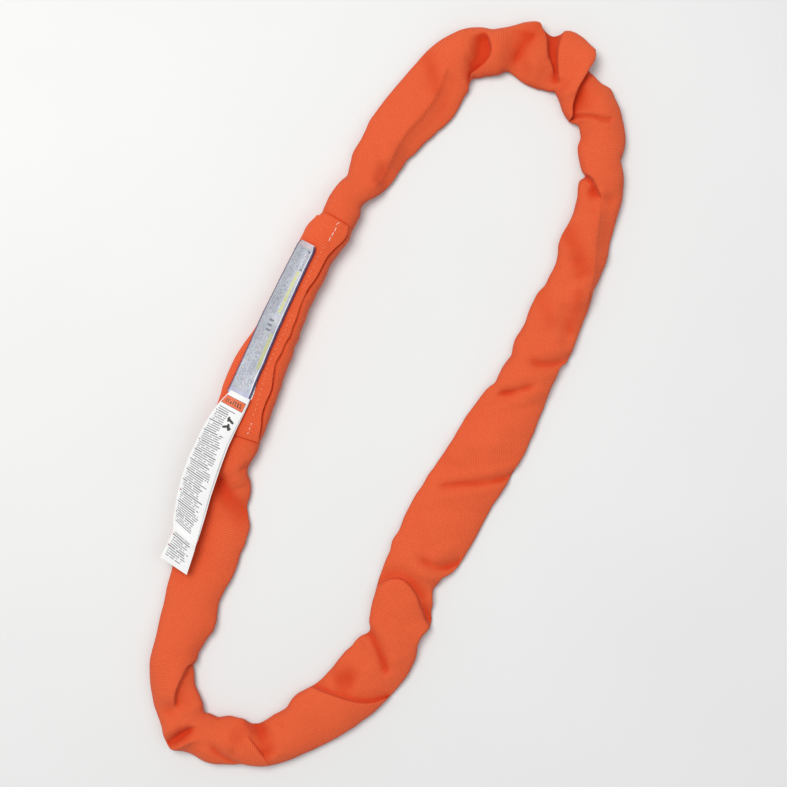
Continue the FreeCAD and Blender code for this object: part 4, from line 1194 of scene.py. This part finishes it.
def sleeve_surface():
    """Sleeve points, their Grid, and how far each is out of the drawn-in mouths, 0 to 1."""
    station = (np.linspace(SLEEVE_START, SLEEVE_END, SLEEVE_ROWS)[:, None]
               * np.ones((1, SLEEVE_COLUMNS)))
    angle = loop_grid(SLEEVE_ROWS, SLEEVE_COLUMNS)[1]
    grown = (ease(0, 11, (station - SLEEVE_START) * STEP)
             * ease(0, 11, (SLEEVE_END - station) * STEP))
    points, grid = section(station, angle, 0.45 - 1.05 * grown)
    points[..., 2] += (0.3 + 1.3 * grown) * ease(0.0, 0.4, np.sin(angle))
    points = fold_all(points, grid, SLEEVE_FOLDS)
    ripple = (0.18 * np.sin(station * 1.3 + 1.2 * np.sin(angle * 2))
              + 0.12 * np.sin(station * 3.1 + angle * 3))
    points = points + grid_normals(points, False) * (ripple * grown)[..., None]
    points[..., 2] = np.maximum(points[..., 2], 0.12)
    return points, grid, grown


def band_solid(name, outer, inner, material):
    """A closed band from an outer and an inner grid, both closed round the section."""
    rows, columns = outer.shape[:2]
    under = rows * columns                          # index step from the outer to the inner grid
    dv = SLEEVE_GIRTH * MM / columns
    i, j = np.meshgrid(np.arange(rows - 1), np.arange(columns), indexing="ij")
    j1 = (j + 1) % columns
    corners = [i * columns + j1, (i + 1) * columns + j1, (i + 1) * columns + j, i * columns + j]
    u = np.stack([i, i + 1, i + 1, i], -1) * (SLEEVE_LENGTH * MM / (rows - 1))
    v = np.stack([j + 1, j + 1, j, j], -1) * dv
    outside = np.stack([corners[k] for k in (0, 1, 2, 3)], -1).reshape(-1, 4)
    uv = np.stack([u, v], -1).reshape(-1, 4, 2)
    faces = [outside, (outside + under)[:, ::-1]]
    uvs = [uv, uv[:, ::-1]]
    j = np.arange(columns)
    for row, turn in ((0, -1), (rows - 1, 1)):      # the two rims face opposite ways
        first, second = row * columns + j, row * columns + (j + 1) % columns
        rim = np.stack([first, second, second + under, first + under], -1)
        faces.append(rim[:, ::turn])
        rim_u = np.stack([j * 0, j * 0, j * 0 + 1, j * 0 + 1], -1) * 0.001
        uvs.append(np.stack([rim_u, np.stack([j, j + 1, j + 1, j], -1) * dv], -1))
    verts = np.concatenate([outer.reshape(-1, 3), inner.reshape(-1, 3)])
    o = mesh_object(name, verts * MM, np.concatenate(faces), np.concatenate(uvs).reshape(-1, 2))
    dress(o, material)
    mark_sharp(o, 55)
    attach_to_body(o, "tag_section")
    return o


sleeve_points, sleeve_grid, sleeve_grown = sleeve_surface()
sleeve_normals = grid_normals(sleeve_points, False)


def build_under_layer():
    """The band round the leg, with a groove along the top layer's free edge."""
    points = fold_all(sleeve_points, sleeve_grid, [UNDER_CREASE])
    past = sleeve_grid.place * sleeve_grid.half - edge_at(sleeve_grid.station)
    groove = np.where(past > -1.5, -1.5 * np.exp(-((past - 0.6) / 1.9) ** 2)
                      + 0.5 * np.exp(-((past - 5.0) / 2.6) ** 2), 0.0)
    points[..., 2] += groove * sleeve_grown * ease(0.0, 0.3, np.sin(sleeve_grid.angle))
    wall = (0.35 + 0.8 * sleeve_grown)[..., None]
    inside = points - grid_normals(points, False) * wall
    o = band_solid("sleeve_under_layer", points, inside, SLEEVE)
    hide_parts("tag_sleeve")


def on_sleeve(stations, places, up):
    """Points and normals over the sleeve's top, by station, distance from the leg's middle
    (outer negative) and height up along the normal."""
    shape = np.broadcast(stations, places).shape
    stations, places, up = (np.broadcast_to(a, shape).ravel() for a in (stations, places, up))
    at = (stations - SLEEVE_START) / (SLEEVE_END - SLEEVE_START) * (SLEEVE_ROWS - 1)
    at = np.clip(at, 0, SLEEVE_ROWS - 1.001)
    row = at.astype(int)
    t = (at - row)[..., None, None]
    top = slice(0, SLEEVE_COLUMNS // 2 + 1)
    rows, row_normals = ((a[row] * (1 - t) + a[row + 1] * t)[:, top]
                         for a in (sleeve_points, sleeve_normals))
    middle, _, across = cross_line(stations)
    reach = ((rows[..., :2] - middle[:, None]) * across[:, None]).sum(-1)
    reach = np.maximum.accumulate(reach + np.arange(reach.shape[1]) * 1e-6, axis=1)
    points, normals = (np.array([[np.interp(places[k], reach[k], a[k, :, c]) for c in range(3)]
                                 for k in range(len(places))]) for a in (rows, row_normals))
    normals = unit(normals)
    return (points + normals * up[:, None]).reshape(shape + (3,)), normals.reshape(shape + (3,))


def build_top_layer():
    """The sleeve's top layer, from the leg's outer side to its free edge."""
    rows, columns = 200, 52
    along, frac = np.linspace(0, 1, rows), np.linspace(0, 1, columns)
    stations = SLEEVE_START + 0.05 + (SLEEVE_END - SLEEVE_START + 0.05) * along
    outer = -cross_line(stations)[1] * 0.975
    edge = edge_at(stations)
    places = outer[:, None] + (edge - outer)[:, None] * frac[None, :] ** 0.9
    # its upper end slopes off at the outer edge
    turn_in = 0.8 * ease(-9, -19, places) * ease(0.75, 1.0, along)[:, None]
    grid = np.minimum(stations[:, None] * np.ones((1, columns)) - turn_in, SLEEVE_END + 0.1)
    # it stands off a little at the free edge and at both ends
    lift = (0.75 * np.exp(-((edge[:, None] - places) / 3.0) ** 2)
            + 0.3 * np.exp(-((1 - along) * SLEEVE_LENGTH / 4.0) ** 2)[:, None]
            + 0.25 * np.exp(-(along * SLEEVE_LENGTH / 4.0) ** 2)[:, None])
    top, _ = on_sleeve(grid, places, LAYER_TOP + lift)
    bottom, _ = on_sleeve(grid, places, LAYER_GAP + lift * 0.9)
    strip_solid("sleeve_top_layer", top, bottom, (stations - SLEEVE_START) * STEP * MM,
                frac * 0.040, SLEEVE)


build_under_layer()
build_top_layer()


# ------------------------------------------------------------------ stitches
def add_tube(verts, faces, rings, sides, cap_turn=-1):
    """Adds a closed tube. A ring is its centre and two half axes; cap_turn is the sense in
    which the first cap runs."""
    first = len(verts)
    for centre, wide, high in rings:
        for m in range(sides):
            a = 2 * math.pi * m / sides
            verts.append(centre + wide * math.cos(a) + high * math.sin(a))
    last = len(verts) - sides
    for low in range(first, last, sides):
        for m in range(sides):
            n = (m + 1) % sides
            faces.append((low + m, low + n, low + sides + n, low + sides + m))
    faces.append(tuple(range(first, first + sides))[::cap_turn])
    faces.append(tuple(range(last, last + sides))[::-cap_turn])


def thread_object(name, verts, faces, material):
    o = mesh_object(name, np.array(verts) * MM, faces)
    edit_mesh(o, lambda bm: bmesh.ops.recalc_face_normals(bm, faces=bm.faces))
    dress(o, material)
    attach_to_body(o, "tag_section")
    return o


def running_length(points):
    return np.concatenate([[0], np.cumsum(np.linalg.norm(np.diff(points, axis=0), axis=1))])


def at_run(at, run, table):
    return np.stack([np.interp(at, run, table[:, k]) for k in range(3)], -1)


def stitches(name, path, length, gap, radius, material, slot, lean=0.0, arch=0.35):
    """A row of short arched threads that dive in at both ends, along (points, normals)."""
    points, normals = path
    run = running_length(points)
    rings, sink = 7, 0.2
    f = np.linspace(-1, 1, rings)
    draw = np.random.RandomState(3)
    verts, faces = [], []
    start = 0.0
    while start + length < run[-1]:
        at = np.linspace(start, start + length, rings)
        centre = at_run(at, run, points)
        up = unit(at_run(at, run, normals))
        side = np.cross(up, unit(np.gradient(centre, axis=0)))
        centre = (centre + side * (lean * f)[:, None] * length * 0.5
                  + up * ((1 - f ** 2) * arch - sink)[:, None])
        centre = centre + side * draw.normal(0, 0.06)
        thick = (radius * (1 - 0.35 * np.abs(f) ** 3))[:, None]
        add_tube(verts, faces, list(zip(centre, side * thick, up * thick * 0.8)), sides=7)
        start += length + gap
    return thread_object(name, verts, faces, material)


def sleeve_row(name, row, material, lift=0.0, node=None, **thread):
    """Stitches on the top layer along a row of (station, distance from the leg's middle)."""
    stations, places = np.array(row).T
    at = np.linspace(stations[0], stations[-1], 160)
    path = on_sleeve(at, np.interp(at, stations, places), LAYER_TOP + lift)
    o = stitches(name, path, material=material, slot="pale_thread", **thread)
    if node:
        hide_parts(node)


sleeve_row("sleeve_seam_stitch_row",
           [(144.9, 11.6), (145.66, 12.0), (148.27, 10.6), (151.0, 7.6), (153.86, 6.0),
            (157.78, 6.6), (162.49, 4.2), (163.98, 4.4), (166.2, 5.8)], FAINT,
           node="sleeve_seam_stitch", length=3.0, gap=2.6, radius=0.30, arch=0.16)
sleeve_row("sleeve_end_stitch_row", [(166.6, 6.3), (167.6, 5.5), (168.43, 4.4)], PALE,
           node="sleeve_end_stitch", length=4.6, gap=1.3, radius=0.48, lean=0.1)
sleeve_row("sleeve_low_stitch_row", [(142.75, 12.4), (143.58, 12.3), (144.6, 11.5)], PALE,
           length=3.2, gap=2.0, radius=0.36, arch=0.2)
sleeve_row("sleeve_bar_tack", [(168.6, 2.4), (168.95, 3.6), (169.15, 5.2)], PALE,
           lift=0.15, length=2.0, gap=0.5, radius=0.5, lean=0.3)

# ------------------------------------------------------------------ identification tag
TAG_ROWS, TAG_COLUMNS = 120, 22
# Plan places of the ends of the tag's long edges, at its first and last station.
TAG_INNER = np.array([(-69.2, 123.8), (108.0, 135.0)])
TAG_OUTER = np.array([(-71.8, 147.6), (103.6, 152.0)])
CORNER_RADIUS = 1.7
tag_stations = np.linspace(TAG_START, TAG_END, TAG_ROWS)
tag_along = (tag_stations - TAG_START) / (TAG_END - TAG_START)
tag_frac = np.linspace(0, 1, TAG_COLUMNS)       # from the inner to the outer edge


def tag_edge(ends, bow):
    """Distance from the leg's middle of a long edge, bowed outwards by bow halfway along."""
    curve = np.stack([0 * tag_along, 4 * tag_along * (1 - tag_along)], -1)
    plan = ends[0] + (ends[1] - ends[0]) * tag_along[:, None] + bow * curve
    middle, _, across = cross_line(tag_stations)
    return ((plan - middle) * across).sum(-1)


def corner_cut():
    """How far the rounded corners of the last end cut into each long edge."""
    to_end = (1 - tag_along) * (TAG_END - TAG_START) * STEP
    inside = np.maximum(0, CORNER_RADIUS - to_end)
    return CORNER_RADIUS - np.sqrt(np.maximum(0, CORNER_RADIUS ** 2 - inside ** 2))


def tag_sheet():
    """Tag surface on the sleeve. A film is stiffer than the web, so it is softened both ways."""
    places = tag_inner[:, None] + (tag_outer - tag_inner)[:, None] * tag_frac[None, :]
    stations = tag_stations[:, None] * np.ones((1, TAG_COLUMNS))
    base, normals = on_sleeve(stations, places, 0.0)
    for _ in range(10):
        base = np.swapaxes(soften_open(np.swapaxes(soften_open(base), 0, 1)), 0, 1)
    return base, unit(soften_open(normals, 10))


tag_inner = tag_edge(TAG_INNER, bow=1.6) - corner_cut()
tag_outer = tag_edge(TAG_OUTER, bow=0.9) + corner_cut()
tag_base, tag_normals = tag_sheet()
tag_sag = 0.5 + (0.35 * np.sin(math.pi * tag_frac)[None, :]
                 * (1 + 0.4 * np.sin(tag_stations * 1.9))[:, None])
tag_hem = 0.45 * ease(0.955, 0.965, tag_along)[:, None]
film_top = tag_base + tag_normals * (LAYER_TOP + 1.55 + tag_sag + tag_hem)[..., None]


def build_tag():
    """Backing film, printed film and clear window, from below upwards."""
    rows = slice(10, None)
    top, bottom = (tag_base + tag_normals * (LAYER_TOP + up) for up in (0.75, 0.1))
    backing = plain_material("backing_film", (0.66, 0.66, 0.64), (0.82, 0.82, 0.80), rough=0.5)
    strip_solid("tag_backing_film", top[rows], bottom[rows], tag_along[rows], tag_frac,
                backing, "tag_backing")
    film_bottom = tag_base + tag_normals * (LAYER_TOP + 0.85 + tag_sag * 0.2)[..., None]
    strip_solid("id_tag_film", film_top, film_bottom, tag_along, tag_frac,
                tag_material(), "id_tag")
    rows, columns = slice(7, 114), slice(2, TAG_COLUMNS - 2)
    top, bottom = (film_top[rows, columns] + tag_normals[rows, columns] * up
                   for up in (0.50, 0.22))
    strip_solid("id_tag_window", top, bottom, tag_along[rows], tag_frac[columns],
                window_material(), "tag_window")


def overlock(name, column, inward, pitch, reach, radius):
    """Slanted loops of thread that wrap the tag's rim; inward is the step to the next column."""
    edge, normals = film_top[:, column], tag_normals[:, column]
    inwards = unit(film_top[:, column + inward * 3] - edge)
    run = running_length(edge)
    # one loop: distance in from the edge, height, advance along it
    profile = [(-0.55, -1.3, 0.0), (-0.75, -0.4, 0.0), (-0.35, 0.25, 0.1),
               (reach * 0.4, 0.42, 0.5), (reach * 0.8, 0.34, 0.9), (reach, 0.0, 1.0)]
    draw = np.random.RandomState(4)
    verts, faces = [], []
    start = 1.0
    while start < run[-1] - 1.5:
        jitter = draw.normal(0, 0.12)
        centres, ups = [], []
        for into, height, advance in profile:
            at = start + (advance + jitter) * pitch * 0.55
            up = at_run(at, run, normals)
            centres.append(at_run(at, run, edge) + at_run(at, run, inwards) * into + up * height)
            ups.append(up)
        rings = []
        for k, centre in enumerate(centres):
            ahead = unit(centres[min(k + 1, len(centres) - 1)] - centres[max(k - 1, 0)])
            wide = unit(np.cross(ahead, ups[k]), guard=1e-9)
            rings.append((centre, wide * radius, np.cross(wide, ahead) * radius))
        add_tube(verts, faces, rings, sides=6, cap_turn=1)
        start += pitch
    return thread_object(name, verts, faces, VIOLET)


build_tag()
inner_overlock = overlock("tag_edge_stitch_inner", column=0, inward=1,
                          pitch=1.12, reach=1.35, radius=0.40)
overlock("tag_edge_stitch_outer", column=TAG_COLUMNS - 1, inward=-1,
         pitch=1.5, reach=0.8, radius=0.27)
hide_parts("tag_edge_stitch")

# ------------------------------------------------------------------ label sheets
# Ends of lines across the label strip, from the tag to the free end: x, y, z.
LABEL_OUTER = np.array([
    (-66.5, 145.9, 27.9), (-70.7, 147.0, 27.5), (-82.8, 150.6, 26.0), (-100.0, 153.6, 25.0),
    (-120.3, 154.4, 24.5), (-147.0, 153.6, 24.0), (-171.1, 150.0, 24.0), (-194.2, 144.3, 24.0),
    (-214.6, 137.9, 24.3), (-223.7, 131.6, 25.5), (-255.9, 130.6, 23.5)])
LABEL_INNER = np.array([
    (-66.2, 123.4, 30.0), (-70.4, 123.2, 30.2), (-83.5, 122.9, 30.8), (-99.3, 123.1, 30.6),
    (-118.5, 122.9, 30.0), (-149.3, 119.0, 29.5), (-175.3, 114.9, 29.0), (-199.5, 109.8, 28.6),
    (-223.2, 104.0, 28.4), (-229.9, 102.3, 29.2), (-259.1, 97.5, 28.4)])


def build_label(which, outer, inner, material, rows, drop=0.0, curl=1.0, phase=0.0):
    """A sheet ruled between two edges, bowed across its width and a little wavy along it."""
    at = running_length((outer + inner) / 2)
    run = np.linspace(0, at[-1], rows)
    outer, inner = (soften_open(at_run(run, at, edge), 7) for edge in (outer, inner))
    v = np.linspace(0, 1, 22)
    points = inner[:, None] * (1 - v)[None, :, None] + outer[:, None] * v[None, :, None]
    normals = np.cross(np.gradient(points, axis=0), np.gradient(points, axis=1))
    normals = unit(normals * np.sign(normals[..., 2])[..., None])
    w = (2 * v - 1)[None, :]
    bow = 1.5 * (1 - w ** 2) * (1 + 0.3 * np.sin(run / 33.0 + phase))[:, None]
    waves = 0.45 * np.sin(run / 15.0 + phase) + 0.25 * np.sin(run / 6.5 + 2 * phase)
    kink = 1.1 * np.exp(-((run - 161) / 3.2) ** 2)[:, None] * (0.6 - 0.6 * w)
    corner = 1.6 * ease(at[-1] - 15, at[-1], run)[:, None] * ease(0.3, 1.0, w)
    up = bow + curl * waves[:, None] * w + curl * kink + curl * corner
    top = points + normals * (up - drop)[..., None]
    o = strip_solid("warning_label_%s_sheet" % which, top, top - normals * 0.35, run / at[-1], v,
                    material, "warning_label_" + which, body=None)
    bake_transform(o)


def build_label_root():
    """The strip's sewn root, a pale margin beside the tag's inner edge, and its stitches."""
    stations = np.linspace(TAG_START + 0.02, TAG_START + 2.6, 26)
    along = stations - stations[0]
    v = np.linspace(0, 1, 12)
    inner = np.interp(stations, tag_stations, tag_inner)
    inner = inner + 2.1 * (1 - ease(0.2, 1.0, along / along[-1]))
    outer = np.interp(stations, tag_stations, tag_outer) * 0.55
    places = inner[:, None] + (outer - inner)[:, None] * v[None, :]
    grid = stations[:, None] * np.ones((1, 12))
    root_top = LAYER_TOP + 0.62
    top, _ = on_sleeve(grid, places, root_top)
    bottom, _ = on_sleeve(grid, places, LAYER_TOP + 0.24)
    stock = plain_material("label_stock_plain", (0.80, 0.80, 0.79), (0.92, 0.92, 0.91), rough=0.45)
    strip_solid("warning_label_root", top, bottom, along * 0.01, v * 0.1 + 2.0, stock,
                "label_anchor_tab")
    station = TAG_START + 0.62
    places = np.linspace(float(np.interp(station, tag_stations, tag_inner)) + 2.6,
                         float(np.interp(station, tag_stations, tag_outer)) * 0.5, 24)
    row = stitches("label_root_stitch_row", on_sleeve(np.full(24, station), places, root_top),
                   length=2.6, gap=1.2, radius=0.26, material=VIOLET, slot="violet_thread",
                   arch=0.12)
    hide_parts("label_anchor_stitch")


build_label("front", LABEL_OUTER, LABEL_INNER, label_material("label_print", True), rows=150)
# The back sheet is one line shorter and peeps out towards -Y.
peep = np.interp(np.arange(10), [0, 2, 4, 7, 8, 10], [0.2, 0.6, 1.7, 1.6, 0.4, -2.0])
peep = peep[:, None] * np.array([0, -1.0, 0])
build_label("back", LABEL_OUTER[:10] + peep * 0.6, LABEL_INNER[:10] + peep,
            label_material("label_print_back", False), rows=130, drop=1.5, curl=0.8, phase=0.5)
build_label_root()

# ------------------------------------------------------------------ CAD nodes that stay
for node_name, node_material in (("core_splice_tape", TAPE), ("cover_overlap_end", COVER),
                                 ("cover_join_stitch", PALE)):
    materials = frame["nodes"][node_name].data.materials
    materials.clear()
    materials.append(node_material)


# ------------------------------------------------------------------ floor
def stage_floor():
    o = mesh_object("floor", [(-4, -4, 0), (4, -4, 0), (4, 4, 0), (-4, 4, 0)], [(0, 1, 2, 3)])
    g = Graph("floor_paint")
    paint = g.mix(g.noise(g.obj, scale=3.0), (0.80, 0.80, 0.79), (0.86, 0.86, 0.85))
    o.data.materials.append(
        g.finish(Base_Color=paint, Roughness=0.45, Specular_IOR_Level=0.25))
    return o


def lower_with(o, probes):
    """Where a probe, a body and a point of it in metres, hangs below z = 0, the floor drops
    with it, so that it never cuts the sling."""
    tree = bpy.data.node_groups.new("floor_height", "GeometryNodeTree")
    for way in ("INPUT", "OUTPUT"):
        tree.interface.new_socket("Geometry", in_out=way, socket_type="NodeSocketGeometry")
    new, link = tree.nodes.new, tree.links.new
    start, end = new("NodeGroupInput"), new("NodeGroupOutput")
    low = None
    for body, at in probes:
        info = new("GeometryNodeObjectInfo")
        info.transform_space = "ORIGINAL"
        info.inputs["Object"].default_value = frame["bodies"][body]
        place = new("FunctionNodeTransformPoint")
        place.inputs["Vector"].default_value = at
        link(info.outputs["Transform"], place.inputs["Transform"])
        split = new("ShaderNodeSeparateXYZ")
        link(place.outputs[0], split.inputs[0])
        least = new("ShaderNodeMath")
        least.operation = "MINIMUM"
        link(split.outputs[2], least.inputs[0])
        if low is None:
            least.inputs[1].default_value = 0.0
        else:
            link(low, least.inputs[1])
        low = least.outputs[0]
    offset = new("ShaderNodeCombineXYZ")
    link(low, offset.inputs[2])
    mover = new("GeometryNodeSetPosition")
    link(start.outputs[0], mover.inputs["Geometry"])
    link(offset.outputs[0], mover.inputs["Offset"])
    link(mover.outputs[0], end.inputs[0])
    o.modifiers.new("floor_height", "NODES").node_group = tree


lower_with(stage_floor(), [("upper_bight", (0.431, 0.0, 0.0)), ("lower_bight", (-0.431, 0.0, 0.0))])

# ------------------------------------------------------------------ light and camera
scene = bpy.context.scene
world = bpy.data.worlds.new("studio")
world.use_nodes = True
background = world.node_tree.nodes["Background"]
background.inputs["Color"].default_value = (0.93, 0.96, 1.0, 1)
background.inputs["Strength"].default_value = 0.40
scene.world = world
scene.view_settings.view_transform = "Standard"

# The camera looks straight down, turned so that the view's right and up lie like this.
TURN = math.radians(62.5)
VIEW_RIGHT = np.array([math.cos(TURN), -math.sin(TURN), 0.0])
VIEW_UP = np.array([math.sin(TURN), math.cos(TURN), 0.0])
AIM = np.array([8.71, -6.69, 0.0])
VIEW_WIDTH = 831.8                          # seen at 10 mm above the floor


def area(name, right, up, height, size, power, colour):
    """A disk light aimed at AIM, placed along the view's right and up; size is in metres."""
    light = bpy.data.lights.new(name, "AREA")
    light.shape = "DISK"
    light.size = size
    light.energy = power
    light.color = colour
    o = bpy.data.objects.new(name, light)
    scene.collection.objects.link(o)
    place = (AIM + VIEW_RIGHT * right + VIEW_UP * up) * MM
    o.location = Vector(place) + Vector((0, 0, height * MM))
    o.rotation_mode = "QUATERNION"
    o.rotation_quaternion = (Vector(AIM * MM) - o.location).to_track_quat("-Z", "Y")


area("key", right=-1000, up=850, height=2900, size=1.9, power=67, colour=(1.0, 0.985, 0.96))
area("fill", right=1000, up=-300, height=1900, size=1.8, power=6, colour=(0.97, 0.98, 1.0))

camera = bpy.data.cameras.new("camera")
camera.lens, camera.sensor_width = 70, 36
camera.clip_start, camera.clip_end = 0.01, 20
camera_object = bpy.data.objects.new("camera", camera)
scene.collection.objects.link(camera_object)
camera_height = VIEW_WIDTH / 36 * 70 + 10
camera_object.location = Vector(AIM * MM) + Vector((0, 0, camera_height * MM))
axes = np.stack([VIEW_RIGHT, VIEW_UP, np.cross(VIEW_RIGHT, VIEW_UP)], -1)
camera_object.rotation_mode = "QUATERNION"
camera_object.rotation_quaternion = Matrix(axes.tolist()).to_quaternion()
scene.camera = camera_object
